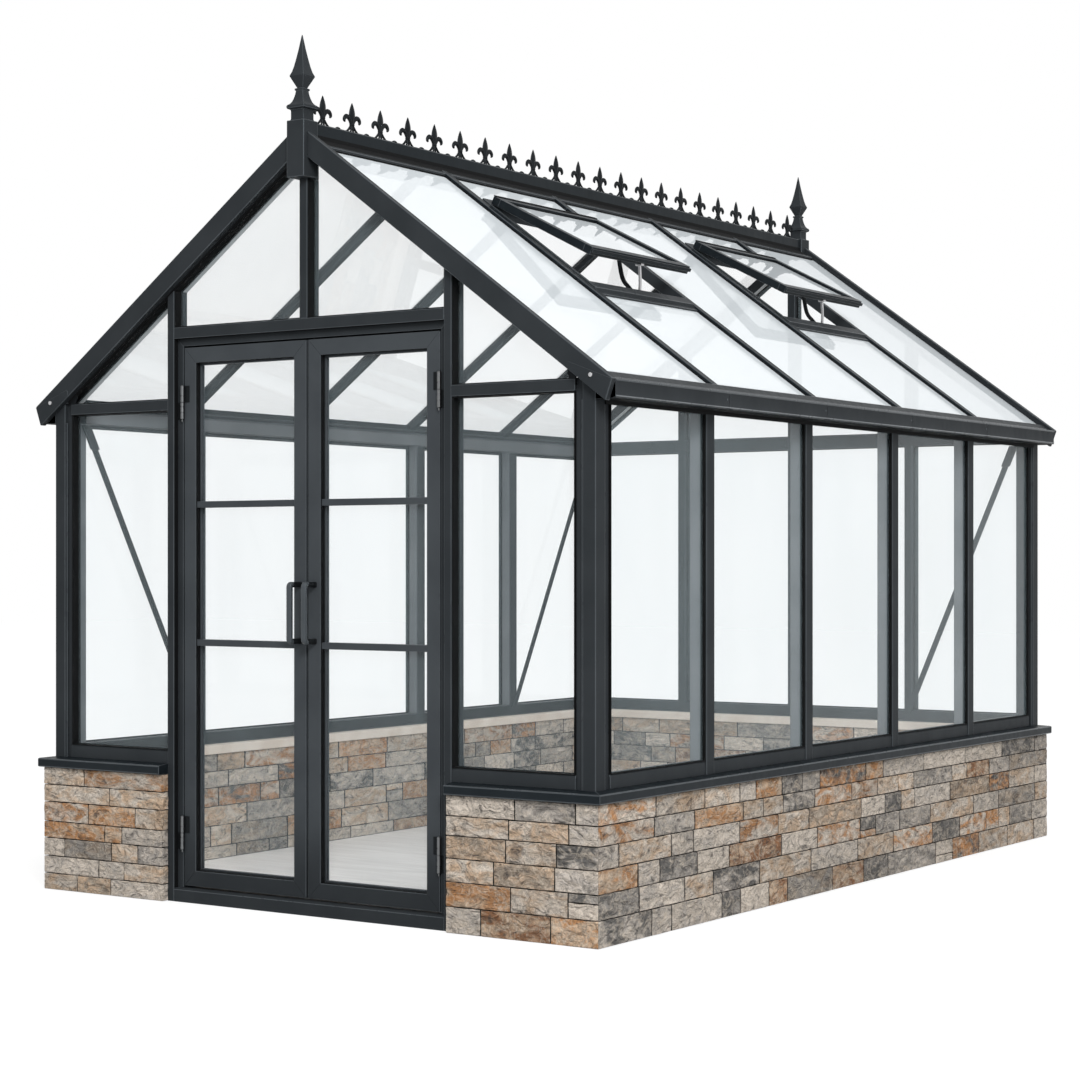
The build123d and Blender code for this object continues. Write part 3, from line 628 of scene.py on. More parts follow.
def stone_walls():
    """The stones of each face, from the outside inwards, and the dark core behind them."""
    x, y, top = WALL_HIGH
    room_x, room_y = WALL_LOW.x, FLOOR_Y
    m = STONE_DEPTH
    for side, seed, face, length, courses in (
        ("right", 207, ((x, -y), (0, 1), (1, 0)), 2 * y, COURSES),
        ("left", 23, ((-x, y), (0, -1), (-1, 0)), 2 * y, LEFT_COURSES),
        ("back", 37, ((x, y), (-1, 0), (0, 1)), 2 * x, LEFT_COURSES),
    ):
        stones = Cladding(seed)
        stones.wall(face, length, 0.0, FINE, (m, m), courses, SIDE_WIDTHS)
        stones.build(f"{side}_wall_stones", f"dwarf_wall_{side}")
    stones = Cladding(594)
    for side, start, room_start, mitres, courses in (
        (-1, -x, -DOOR_X, (m, 0.0), LEFT_COURSES), (1, DOOR_X, room_x, (0.0, m), COURSES),
    ):
        stones.wall(((start, -y), (1, 0), (0, -1)), x - DOOR_X, 0.0, FINE, (m, m), courses)
        beside_door = stones.ends[side < 0]
        stones.wall(((room_start, -room_y), (-1, 0), (0, 1)), room_x - DOOR_X, FLOOR_TOP, COARSE, mitres)
        stones.returns(beside_door, ((side * DOOR_X, -y), (0, 1), (-side, 0)), y - room_y, FINE, (m, m))
    stones.build("front_wall_stones", "dwarf_wall_front")
    stones = Cladding(53)
    for face, length in (
        (((room_x, room_y), (0, -1), (-1, 0)), 2 * room_y), (((-room_x, -room_y), (0, 1), (1, 0)), 2 * room_y),
        (((-room_x, room_y), (1, 0), (0, -1)), 2 * room_x),
    ):
        stones.wall(face, length, FLOOR_TOP, COARSE, (0.0, 0.0), widths=SIDE_WIDTHS)
    stones.build("inner_wall_stones")

    c, low = CORE_RECESS, 0.001
    core = Shape().box(room_x + c, x - c, -y + c, y - c, low, top).both()
    core.box(-room_x - c, room_x + c, room_y + c, y - c, low, top)
    core.box(-room_x - c, -DOOR_X - c, -y + c, -room_y - c, low, top)
    core.box(DOOR_X + c, room_x + c, -y + c, -room_y - c, low, top)
    piece("wall_core", core, "", JOINT, 0.002, 2)


def round_walls(outline, shift):
    """An outline across the right wall, drawn round the building with mitres and open at the doorway."""
    across = [(u + shift, z) for u, z in outline]
    back = Shape().prism("x", across, shift, -shift, -1, 1)
    front = Shape().prism("x", [(-u, z) for u, z in across], DOOR_X, -shift, 0, -1).both()
    return Shape().prism("y", outline, -shift, shift, -1, 1).both().join(back, front)


def sills_and_coping():
    """Metal sill round the outside and the pale stone coping inside."""
    (outer, y, high), low = SILL_HIGH, SILL_LOW.z
    sill = [(INNER_X, low), *beside(outer, low, (-0.003, 0), (0, 0.003)),
            *beside(outer, high, (0, -0.0085), (-0.003, -0.0055)), (FACE_X + 0.001, high), (INNER_X, high)]
    piece("wall_sills", round_walls(sill, y - outer), "window_sills", SHADED_METAL, 0.002)
    room_x, room_y = WALL_LOW.x - 0.015, FLOOR_Y - 0.015
    coping = round_walls(rectangle(room_x, INNER_X, COPING_LOW.z, COPING_HIGH.z), room_y - room_x)
    piece("stone_coping", coping, "inner_coping", COPING, 0.004)


# ---- Wall frame ----
CORNER_FACE, CORNER_SIDE = 0.052, 0.058
CORNER_FLANGE, CORNER_SIDE_FLANGE = 0.033, 0.042
FLANGE_X, FLANGE_Y = FACE_X - CORNER_FACE - CORNER_FLANGE, FACE_Y - CORNER_SIDE - CORNER_SIDE_FLANGE
FLANGE_SETBACK, FLANGE_STEP = 0.012, 0.003
HALF_MULLION, HALF_BACK_POST, HALF_KING = 0.030, 0.020, 0.017
GASKET_WIDTH, INNER_GASKET, LINING, SKIN = 0.0035, 0.005, 0.0011, 0.0008
RAIL_FACE, RAIL_LIP, FRONT_TIE = 0.004, 0.010, 0.040
RAFTER_DEPTH, RAFTER_WIDTH, SEAT_DEPTH, BAR_LOW, BOARD_DEPTH = 0.080, 0.075, 0.031, 0.052, 0.075
UPSTAND = FACE_X - 0.020
LEDGE = roof(UPSTAND, BAR_LOW)
HEEL = (roof(0, RAFTER_DEPTH) - LEDGE) / SLOPE
PEAK = (roof(0, RAFTER_DEPTH) - TIE_HIGH.z) / SLOPE
SINK = 0.003


def bays(lines, half, corner):
    """Spans between the bars on these lines, out to the corners."""
    return list(zip([-corner] + [line + half for line in lines], [line - half for line in lines] + [corner]))


SIDE_BAYS = bays(SIDE_LINES, HALF_MULLION, FLANGE_Y)


def wall_posts():
    """Corner posts with glazing flanges, side mullions with outer caps, and the back posts."""
    fx, fy, z0, z1 = FACE_X, FACE_Y, SILL_TOP - SINK, EAVE
    edge, start = fx - CORNER_FACE, -fy + CORNER_SIDE
    top = [(edge, z0), (fx, z0), on_roof(fx, SEAT_DEPTH), on_roof(edge, SEAT_DEPTH)]
    corner = Shape().prism("y", top, -fy, start)
    corner.box(edge - CORNER_FLANGE, edge, -fy + FLANGE_SETBACK, start - FLANGE_STEP, z0, LEDGE)
    corner.box(INNER_X + FLANGE_STEP, fx - FLANGE_SETBACK, start, start + CORNER_SIDE_FLANGE, z0, LEDGE)
    corner.box(edge - 0.008, edge, -fy + 0.004, -fy + FLANGE_SETBACK, z0, z1)
    corner.box(fx - FLANGE_SETBACK, fx - 0.004, start, start + 0.010, z0, z1)
    piece("corner_post_set", corner.four(), "corner_posts", bevel=0.0028)

    bars, cap = Shape(), SIDE_GLASS + 0.0005
    for line in SIDE_LINES:
        bars.box(INNER_X, cap, *about(line, HALF_MULLION), z0, z1)
        bars.box(cap, fx, *about(line, HALF_MULLION - 0.003), z0, z1)
    piece("right_mullion_set", bars, "right_mullions", bevel=0.0028)
    piece("left_mullion_set", bars.mirrored(), "left_mullions", bevel=0.0028)

    posts = Shape()
    for line in BACK_LINES:
        a, b = about(line, HALF_BACK_POST)
        top = [(a, z0), (b, z0), on_roof(b, RAFTER_DEPTH), on_roof(a, RAFTER_DEPTH)]
        if line == 0.0:
            top = rectangle(a, b, z0, BLOCK_LOW.z)
            posts.prism("y", rectangle(a, b, BLOCK_LOW.z, RIDGE_LOW.z), INNER_Y, BLOCK_INNER)
        posts.prism("y", top, INNER_Y, fy)
    piece("back_post_set", posts, "back_posts")


def wall_rails():
    """Bottom rails, tie-beams and the wall plates under the eaves."""
    face, depth = FACE_X - RAIL_FACE, FACE_Y - RAIL_FACE
    side = [(INNER_X, SILL_TOP), (face, SILL_TOP), (face, RAIL_TOP - RAIL_LIP), (face - 0.004, RAIL_TOP),
            (INNER_X, RAIL_TOP)]
    front = [(-depth, SILL_TOP), (-INNER_Y, SILL_TOP), (-INNER_Y, RAIL_TOP), (-depth + 0.004, RAIL_TOP),
             (-depth, RAIL_TOP - RAIL_LIP)]
    rails = Shape()
    for start, end in SIDE_BAYS:
        rails.join(Shape().prism("y", side, start - SINK, end + SINK).both())
    rails.join(Shape().prism("x", front, DOOR_X - SINK, FLANGE_X + SINK).both())
    for start, end in bays(BACK_LINES, HALF_BACK_POST, FLANGE_X):
        rails.prism("x", [(-u, z) for u, z in front], start - SINK, end + SINK)
    piece("bottom_rail_set", rails, "bottom_rails", bevel=0.0022)

    top = TIE_HIGH.z
    ties = Shape().box(DOOR_X - SINK, FLANGE_X + SINK, -FACE_Y, -INNER_Y, top - FRONT_TIE, top).both()
    for start, end in bays(BACK_LINES, HALF_BACK_POST, INNER_X):
        ties.box(start - SINK, end + SINK, INNER_Y, FACE_Y, TIE_LOW.z, top)
    piece("tie_beam_set", ties, "tie_beams")

    plate = [(INNER_X, EAVE), (FACE_X, EAVE), on_roof(FACE_X, SEAT_DEPTH), on_roof(UPSTAND, SEAT_DEPTH),
             (UPSTAND, LEDGE), *beside(INNER_X, LEDGE, (0.016, 0), (0.016, -0.018), (0, -0.022))]
    end = FLANGE_Y + 0.002
    piece("eave_plate_set", Shape().prism("y", plate, -end, end).both(), "eave_plates")


def room_painted_light():
    """Pale skins on the room side of the side mullions, corner posts, wall plates and rafters: painted light on the
    members' sides and a painted highlight on the rafters' soffits.
    """
    sides, low = Shape(), RAIL_TOP + 0.001
    for line in SIDE_LINES:
        for face in about(line, HALF_MULLION):
            sides.box(INNER_X + 0.003, SIDE_GLASS - 0.010, *about(face, SKIN), low, EAVE - 0.001)
    piece("mullion_side_painted_light", sides.both(), "", SIDE_LIGHT_COAT, 0)

    side, start, end = INNER_X + FLANGE_STEP, -FACE_Y + CORNER_SIDE, -FLANGE_Y
    plates = Shape().box(side - SKIN, side + 0.001, start + 0.002, end - 0.002, low, EAVE).four()
    plates.join(Shape().box(INNER_X - SKIN, INNER_X + 0.001, end, -end, EAVE + 0.003, LEDGE - 0.025).both())
    piece("wall_plate_painted_light", plates, "", PLATE_LIGHT_COAT, 0)

    strip = slope_strip(BLOCK_HIGH.x + 0.002, INNER_X - 0.004, RAFTER_DEPTH - 0.001, RAFTER_DEPTH + SKIN)
    soffits = Shape().prism("y", strip, -FACE_Y + 0.041, -FACE_Y + 0.0745).four()
    piece("rafter_soffit_painted_highlight", soffits, "", SOFFIT_HIGHLIGHT_COAT, 0)


def glazing_gaskets_and_shade():
    """Black seals that line the reveal outside each pane, standing also as painted shade in the reveal, and a narrow
    one inside it.
    """
    seals, g = Shape(), GASKET_WIDTH
    for start, end in SIDE_BAYS:
        pane = rectangle(start, end, RAIL_TOP, EAVE)
        seals.ring("x", pane, g, SIDE_GLASS, FACE_X - 0.0032)
        seals.ring("x", pane, INNER_GASKET, SIDE_GLASS - 0.009, SIDE_GLASS - 0.004)
    seals.both()
    for outline in front_panes():
        band = Shape().ring("y", outline, g, -FACE_Y + 0.004, -FRONT_GLASS)
        seals.join(band.ring("y", outline, INNER_GASKET, -FRONT_GLASS + 0.004, -FRONT_GLASS + 0.009).both())
    for outline in back_panes():
        seals.ring("y", outline, g, BACK_GLASS, FACE_Y - 0.004)
        seals.ring("y", outline, INNER_GASKET, BACK_GLASS - 0.009, BACK_GLASS - 0.004)
    piece("glazing_seals_and_shade", seals, "", GASKET_AND_SHADE, 0.0006, 1)


def front_panes():
    """Outlines of the right-hand front panes: window, cheek and the light over the doors."""
    inner, top, tie, ridge_foot = DOOR_X - 0.032, HEADER_HIGH.z, TIE_HIGH.z, RIDGE_LOW.z
    window = rectangle(DOOR_X, FLANGE_X, RAIL_TOP, tie - FRONT_TIE)
    cheek = [(DOOR_X, tie), (PEAK, tie), on_roof(DOOR_X, RAFTER_DEPTH)]
    light = [(HALF_KING, top), (inner, top), on_roof(inner, RAFTER_DEPTH),
             ((roof(0, RAFTER_DEPTH) - ridge_foot) / SLOPE, ridge_foot), (HALF_KING, ridge_foot)]
    return window, cheek, light


def back_panes():
    outlines = [rectangle(*bay, RAIL_TOP, TIE_LOW.z) for bay in bays(BACK_LINES, HALF_BACK_POST, FLANGE_X)]
    for start, end in bays(BACK_LINES, HALF_BACK_POST, PEAK):
        near, far = (start, end) if end > 0 else (end, start)
        upper = [(near, TIE_HIGH.z), (far, TIE_HIGH.z), on_roof(far, RAFTER_DEPTH), on_roof(near, RAFTER_DEPTH)]
        outlines.append(upper if abs(far) < PEAK else upper[:2] + upper[3:])
    return outlines


def doorway():
    """Door posts, header, king mullion, threshold and the rebated frame round the leaves."""
    inner, low, high = HEADER_HIGH.x, HEADER_LOW.z, HEADER_HIGH.z
    post = [(inner, 0.0), (DOOR_X, 0.0), on_roof(DOOR_X, RAFTER_DEPTH), on_roof(inner, RAFTER_DEPTH)]
    piece("door_post_set", Shape().prism("y", post, -FACE_Y, DOOR_BACK).both(), "door_posts")
    piece("door_header_beam", Shape().box(-inner, inner, -FACE_Y, DOOR_BACK, low, high), "door_header")

    k = HALF_KING
    king = Shape().box(-k, k, -FACE_Y + 0.001, -INNER_Y, high, BLOCK_LOW.z)
    king.box(-k, k, -BLOCK_INNER, -INNER_Y, BLOCK_LOW.z, RIDGE_LOW.z)
    piece("king_mullion", king, "front_king_mullion", bevel=0.0024)

    back, top = THRESHOLD_HIGH.yz
    sill = [(-FACE_Y, 0.0), (back, 0.0), (back, top), *beside(-FACE_Y, top, (0.014, 0), (0.006, -0.003), (0, -0.006))]
    piece("threshold", Shape().prism("x", sill, -inner, inner), "door_threshold", bevel=0.002)

    start, end = FRAME_LOW.y, FRAME_HIGH.y
    jamb, head, stop = inner - 0.028, low - 0.028, end - 0.010
    rim = Shape()
    for x, z, y0, y1 in ((jamb, head, start, stop), (jamb - 0.012, head - 0.012, stop, end)):
        part = Shape().prism("y", [(x, top), (inner, top), (inner, low), (x, z)], y0, y1).both()
        rim.join(part.prism("y", [(-inner, low), (inner, low), (x, z), (-x, z)], y0, y1))
    piece("door_surround", rim, "door_frame", bevel=0.0018, segments=2)
    # Black strips at the frame's stop, on the door posts' inner sides and under the header: a draught seal, and
    # painted shade in the reveals.
    cut = rectangle(-FACE_Y + 0.003, start, top, low - LINING)
    seal = Shape().box(jamb - 0.0025, jamb - 0.0005, stop - 0.004, stop - 0.0005, top + 0.01, head - 0.004)
    seal.prism("x", cut, inner - LINING, inner - 0.0001).both()
    seal.box(-inner, inner, -FACE_Y + 0.003, start, low - LINING, low - 0.0001)
    piece("draught_seals_and_shade", seal, "", GASKET_AND_SHADE, 0.0005, 1)


# ---- Doors ----
STILE, LEAF_RAIL, LEAF_SEAM = 0.057, 0.058, 0.0012
LEAF_BEAD, BEAD_SET = 0.008, 0.023
LEAF_LEVELS, HALF_BAR = (0.970, 1.485), 0.012
HINGE_AXIS = (LEAF_HIGH.x + 0.0025, LEAF_LOW.y - 0.008)
HINGE_LEVELS, HINGE_LENGTH = (HINGE_TOP - 1.735, HINGE_TOP - 0.125), 0.125
HINGE_RADIUS, HINGE_BORE, CHAMFER, HINGE_GAP = 0.0075, 0.0041, 0.0012, 0.0005
GRIP_THICK, GRIP_BEND = 0.0080, 0.012


def leaf_shapes():
    """Right-hand leaf: its mitred frame, its beads and glazing bars, and the black lining of its opening, painted
    shade on the recess's sides.
    """
    x0, x1, front, back = LEAF_LOW.x, LEAF_HIGH.x, LEAF_LOW.y, LEAF_HIGH.y
    z0, z1, glass, glass_back = LEAF_LOW.z, LEAF_HIGH.z, PANE_LOW.y, PANE_HIGH.y
    opening = rectangle(x0 + STILE, x1 - STILE, z0 + LEAF_RAIL, z1 - LEAF_RAIL)
    leaf = Shape().frame("y", rectangle(x0, x1, z0, z1), opening, front, back, LEAF_SEAM)
    beads = Shape().ring("y", opening, LEAF_BEAD, front + BEAD_SET, glass)
    beads.ring("y", opening, LEAF_BEAD, glass_back, back - 0.003)
    for low, high in (about(level, HALF_BAR) for level in LEAF_LEVELS):
        for y0, y1, set_in in ((front + 0.006, glass + 0.0005, 0.0), (glass_back - 0.0005, back - 0.003, 0.0),
                               (glass, glass_back, 0.001)):
            beads.box(x0 + STILE, x1 - STILE, y0, y1, low + set_in, high - set_in)
    return leaf, beads, Shape().ring("y", opening, LINING, front + 0.003, front + BEAD_SET)


def handle_shapes():
    """Pull handle of the right-hand leaf: a rounded grip, lighter as painted light, on two stand-offs made black as
    painted shade.
    """
    x = (HANDLE_LOW.x + HANDLE_HIGH.x) / 2
    thick, bend, plate = GRIP_THICK, GRIP_BEND, LEAF_LOW.y
    centre = HANDLE_LOW.y + thick + bend
    low, high = HANDLE_LOW.z + thick + bend, HANDLE_HIGH.z - thick - bend
    path = [(centre - bend * s, low - bend * c, -s, -c) for s, c in quarter(6)]
    path += [(centre - bend * c, high + bend * s, -c, s) for s, c in quarter(6)]
    grip = Shape().loops(*[handle_ring(x, *place, HANDLE_HIGH.x - x, thick) for place in path])
    feet = Shape()
    for z in (HANDLE_LOW.z + 0.0105, HANDLE_HIGH.z - 0.0105):
        feet.loops(*[handle_ring(x, y, z, 0.0, 1.0, r + 0.0004, r) for y, r in (
            (centre - 0.004, 0.0070), (centre, 0.0100), (plate - 0.007, 0.0100), (plate - 0.0065, 0.0105),
            (plate, 0.0105))])
    return grip, feet


def handle_ring(x, y, z, ny, nz, half, thick):
    """A rounded section of the handle across its direction."""
    return [(x + rounded(c, 0.5) * half, y + ny * (rounded(s, 0.5) * thick), z + nz * (rounded(s, 0.5) * thick))
            for c, s in circle(20)]


def rounded(value, power):
    """A circle's coordinate pushed out towards a square, or in towards a diamond."""
    return math.copysign(abs(value) ** power, value)


def groove(level, r=HINGE_RADIUS):
    """A narrow groove in the profile of a barrel."""
    return (r, level - 0.0016), (r - 0.0020, level - 0.0012), (r - 0.0020, level + 0.0012), (r, level + 0.0016)


def hinge_shapes():
    """Right-hand lift-off hinges: plates and pins on the jamb, flaps and sleeves on the leaf."""
    (x, y), r, bore, c, face = HINGE_AXIS, HINGE_RADIUS, HINGE_BORE, CHAMFER, LEAF_LOW.y
    jamb_plates, leaf_plates, jamb_barrels, leaf_barrels = Shape(), Shape(), Shape(), Shape()
    for low in HINGE_LEVELS:
        middle, top = low + HINGE_LENGTH / 2, low + HINGE_LENGTH
        split = middle + HINGE_GAP
        jamb_barrels.turned((x, y), [
            (0.0022, low - 0.010), (0.0034, low - 0.007), (0.0028, low - 0.002), (r - c, low), (r, low + c),
            *groove(low + 0.024), *groove(low + 0.046), (r, middle - c), (r - c, middle), (0.0040, middle),
            (0.0040, top - 0.006), (0.0034, top - 0.005)])
        leaf_barrels.turned((x, y), [(bore, split), (r - c, split), (r, split + c), *groove(top - 0.038),
                                     (r, top - c), (r - c, top), (bore, top)], closed=True)
        lid = bore + 0.0008
        leaf_barrels.turned((x, y), [(lid, top - 0.003), (lid, top + 0.001), (0.0022, top + 0.003)])
        # The black plates beside each barrel are hinge plates, and also painted shadow of the barrel.
        jamb_plates.box(x + 0.002, LEAF_HIGH.x + 0.031, face - 0.003, face, low, middle)
        leaf_plates.box(LEAF_HIGH.x - 0.026, x - 0.002, face - 0.003, face, split, top)
    return jamb_plates, leaf_plates, jamb_barrels, leaf_barrels


def doors():
    jamb_plates, leaf_plates, jamb_barrels, leaf_barrels = hinge_shapes()
    shapes = [*leaf_shapes(), *handle_shapes(), leaf_barrels, leaf_plates]
    for side in ("right", "left"):
        leaf, beads, lining, grip, feet, sleeves, flaps = shapes
        body = f"{side}_door"
        piece(f"{side}_leaf_frame", leaf, f"{body}_leaf", LIT_LEAF_METAL, 0.0022, body=body, square=False)
        piece(f"{side}_leaf_beads", beads, "", LIT_LEAF_METAL, 0.0016, 2, body=body)
        # Black lining of the opening: painted shade on the recess's sides.
        piece(f"{side}_leaf_painted_shade", lining, "", GASKET_AND_SHADE, 0.0002, 1, body=body)
        piece(f"{side}_pull_handle", grip, f"{body}_handle", GRIP, body=body, smooth=True)
        piece(f"{side}_handle_feet", feet, "", HANDLE, body=body, smooth=True)
        piece(f"{side}_hinge_sleeves", sleeves, f"{body}_hinges", STEEL, body=body, smooth=True)
        piece(f"{side}_hinge_flaps", flaps, "", HANDLE, SKIN, 2, body)
        shapes = [shape.mirrored() for shape in shapes]
    piece("hinge_barrels", jamb_barrels.both(), "hinge_pins", STEEL, smooth=True)
    piece("hinge_plates", jamb_plates.both(), "", HANDLE, SKIN, 2)


# ---- Roof ----
HALF_ROOF_BAR, CAP_TOP, GLASS_TOP = 0.017, 0.012, 0.026
WING, HALF_RIDGE = 0.072, 0.030
GLASS_FOOT = REACH - 0.034
EAVE_BAR_START = GLASS_FOOT - 0.026


def gables():
    """Barge boards with their end plates and bolts, and the rafters behind them."""
    side, front, start = BLOCK_HIGH.x, -BARGE_HIGH.y, TAIL - 0.150
    board = [on_roof(side), on_roof(REACH), on_roof(TAIL, BOARD_DEPTH), on_roof(side, BOARD_DEPTH)]
    piece("barge_board_set", Shape().prism("y", board, front + 0.0015, -FACE_Y).four(), "barge_boards", bevel=0.003)
    plate = [on_roof(start, 0.0735), on_roof(start + 0.004, 0.052), (REACH - 0.0015, roof(REACH, 0.002)),
             (TAIL - 0.001, roof(TAIL, 0.0735))]
    plates = Shape().prism("y", plate, front, front + 0.0025).four()
    piece("barge_end_plates", plates, bevel=SKIN, segments=2)
    # A black strip on the rafters' faces below the barge boards: painted shade.
    strip = slope_strip(side, INNER_X, 0.0752, RAFTER_DEPTH + 0.0005)
    piece("gable_painted_shade", Shape().prism("y", strip, -FACE_Y - 0.001, -FACE_Y + 0.005).four(), "", GASKET_AND_SHADE, 0)
    rafter = [on_roof(side, SEAT_DEPTH), on_roof(UPSTAND, SEAT_DEPTH), (UPSTAND, LEDGE), (HEEL, LEDGE),
              on_roof(side, RAFTER_DEPTH)]
    piece("rafter_set", Shape().prism("y", rafter, -FACE_Y, -FACE_Y + RAFTER_WIDTH).four(), "gable_rafters")
    bolts = Shape().dome("y", on_roof(TAIL - 0.056, 0.038), front, -1.0, 0.0085, 0.006).four()
    piece("barge_bolts", bolts, "", BOLT, smooth=True)


def eave_fittings():
    """Gutters in lengths with joints and screws, and the bars over their backs."""
    wall, low, rim = 0.003, GUTTER_FOOT, roof(REACH)
    face, inner, lines = REACH - 0.002, FACE_X + wall, [-FACE_Y, *SIDE_LINES, FACE_Y]
    inside = face - wall
    trough = [
        (FACE_X, low), *beside(face, low, (-0.014, 0), (-0.006, 0.003), (0, 0.006), (0, 0.010), (-0.0014, 0.0125)),
        *beside(face, rim, (-0.0014, -0.0115), (0, -0.009), (0, -0.002), (-0.002, 0), (-0.007, 0), (-0.007, -0.004)),
        (inside, rim - 0.006), (inside, low + wall), (inner, low + wall), on_roof(inner, SEAT_DEPTH),
        on_roof(FACE_X, SEAT_DEPTH)]
    gutters, lining, sleeves, screws = Shape(), Shape(), Shape(), Shape()
    for a, b in zip(lines, lines[1:]):
        gutters.prism("y", trough, a + (0.0008 if a > -FACE_Y else 0), b - (0.0008 if b < FACE_Y else 0))
        # A black sheet under each gutter length: painted shade on its underside.
        lining.box(FACE_X + 0.002, face - 0.013, a + 0.001, b - 0.001, low - 0.001, low)
    for end in (-FACE_Y, FACE_Y - wall):
        gutters.box(inner - 0.0005, inside + 0.0005, end, end + wall, low + wall - 0.0005, rim - 0.006)
    foot, top, skin = low + wall, rim - 0.010, 0.0012
    band = [(inner, foot), (inside, foot), (inside, top), (inside - skin, top), (inside - skin, foot + skin),
            (inner + skin, foot + skin), (inner + skin, top), (inner, top)]
    for line in SIDE_LINES:
        sleeves.prism("y", band, *about(line, 0.025))
        screws.dome("x", (line - 0.016, low + 0.036), face - 0.0014, 1.0, 0.0036, 0.0018)
    end = FACE_Y - CORNER_SIDE
    # A black band under the gutters, over the wall glass's top: painted shade.
    lining.box(SIDE_GLASS + 0.004, FACE_X + 0.004, -end, end, low - 0.014, low + 0.0005)
    # The bead under the rim and the lip near the foot are lighter strips: painted highlights on the gutter's edges.
    beads, lips = (Shape().box(face - 0.002, face + 0.0012, -FACE_Y + 0.001, FACE_Y - 0.001, z0, z1)
                   for z0, z1 in ((rim - 0.0080, rim - 0.0025), (low + 0.0055, low + 0.0100)))
    piece("gutter_set", gutters.both(), "gutters", METAL, 0.0014, 2)
    piece("gutter_painted_shade", lining.both(), "", GASKET_AND_SHADE, 0)
    # The top bead and the screws take the arris colour: a painted highlight and painted glints.
    piece("gutter_beads", beads.both(), "", ARRIS_HIGHLIGHT, 0.0012, 2)
    piece("gutter_drip_lips", lips.both(), "", LIP, 0.0012, 2)
    piece("gutter_sleeves", sleeves.both(), "", METAL, 0.0003, 1)
    piece("gutter_screws", screws.both(), "", ARRIS_HIGHLIGHT, smooth=True)

    start, nose, foot = EAVE_BAR_START, GLASS_FOOT + 0.006, GLASS_FOOT
    bar = [on_roof(start, CAP_TOP), on_roof(nose, CAP_TOP), on_roof(nose, SEAT_DEPTH), on_roof(foot, SEAT_DEPTH),
           on_roof(foot, GLASS_TOP), on_roof(start, GLASS_TOP)]
    piece("eave_bar_set", Shape().prism("y", bar, -FACE_Y, FACE_Y).both(), "eave_bars", bevel=0.003)


def roof_bars():
    """Glazing bars of both slopes: a cap over the glass and a bar under it, with black seals between."""
    caps, bars, seals, h = Shape(), Shape(), Shape(), HALF_ROOF_BAR
    under = [on_roof(HALF_RIDGE, GLASS_TOP), on_roof(GLASS_FOOT, GLASS_TOP), on_roof(GLASS_FOOT, SEAT_DEPTH),
             on_roof(UPSTAND, SEAT_DEPTH), (UPSTAND, LEDGE), on_roof(HALF_RIDGE, BAR_LOW)]
    for line in SIDE_LINES:
        a, b = about(line, h)
        caps.prism("y", slope_strip(WING, EAVE_BAR_START, CAP_TOP, GLASS_TOP), a, b)
        bars.prism("y", under, a, b)
        for y0, y1 in ((line - (h + GASKET_WIDTH), a), (b, line + (h + GASKET_WIDTH))):
            seals.prism("y", slope_strip(WING, EAVE_BAR_START, GLASS_TOP - 0.004, GLASS_TOP), y0, y1)
    for side in ("right", "left"):
        piece(f"{side}_bar_caps", caps, f"{side}_roof_bars", SHADED_METAL, 0.003)
        piece(f"{side}_bar_stems", bars)
        caps, bars = caps.mirrored(), bars.mirrored()
    piece("roof_seals", seals.both(), "", GASKET_AND_SHADE, 0.0004, 1)


FINIAL_SECTIONS = (
    (0.0, 0.0620), (0.006, 0.0580), (0.035, 0.0580), (0.039, 0.0620), (0.042, 0.0760), (0.045, 0.0810),
    (0.052, 0.0810), (0.056, 0.0760), (0.060, 0.0640), (0.068, 0.0530), (0.080, 0.0440), (0.094, 0.0370),
    (0.1075, 0.0330), (0.1085, 0.0370), (0.111, 0.0395), (0.114, 0.0395), (0.1165, 0.0370), (0.1175, 0.0260),
    (0.158, 0.0640), (0.160, 0.0655), (0.163, 0.0640), (0.176, 0.0530), (0.195, 0.0430), (0.225, 0.0310),
    (0.260, 0.0185), (0.290, 0.0092), (0.310, 0.0025),
)


def ridge():
    """Ridge beam, the flashing strips beside it, end blocks and finials."""
    end, h, top, low = BLOCK_INNER, HALF_RIDGE, RIDGE_HIGH.z, RIDGE_LOW.z
    beam = [(h, low), (h, top), (-h, top), (-h, low)]
    piece("ridge_beam_set", Shape().prism("y", beam, -end, end), "ridge_beam", SHADED_METAL, 0.003)
    strip, seam, far, near = 0.078, 0.090, end + 0.02, h + 0.0002
    strips = Shape().prism("y", slope_strip(strip, seam, 0.014, 0.0205), -far, far).both()
    piece("ridge_flashing", strips, bevel=0.0018)
    # Black bands beside the beam and at the flashing's foot: seals, and painted shade under the ridge.
    bands = Shape().prism("y", slope_strip(near, strip, 0.0195, 0.0258), -end, end)
    bands.box(near, h + 0.0014, -end, end, roof(h, 0.0205), roof(h, 0.0205) + 0.014)
    bands.prism("y", slope_strip(strip, seam, 0.0203, 0.0258), -far, far)
    piece("ridge_seals_and_shade", bands.both(), "", GASKET_AND_SHADE, 0.0004, 1)

    (side, outer, z1), z0 = BLOCK_HIGH, BLOCK_LOW.z
    blocks = Shape().box(-side, side, -outer, -end, z0, z1).both("y")
    piece("ridge_end_blocks", blocks, "ridge_blocks", bevel=0.003)
    y = (outer + end) / 2
    stem = Shape().loops(*[[(u, v - y, z1 + level) for u, v in rectangle(*about(0.0, width / 2) * 2)]
                           for level, width in FINIAL_SECTIONS]).both("y")
    piece("spear_finials", stem, "finials", METAL, 0.0016, 2)


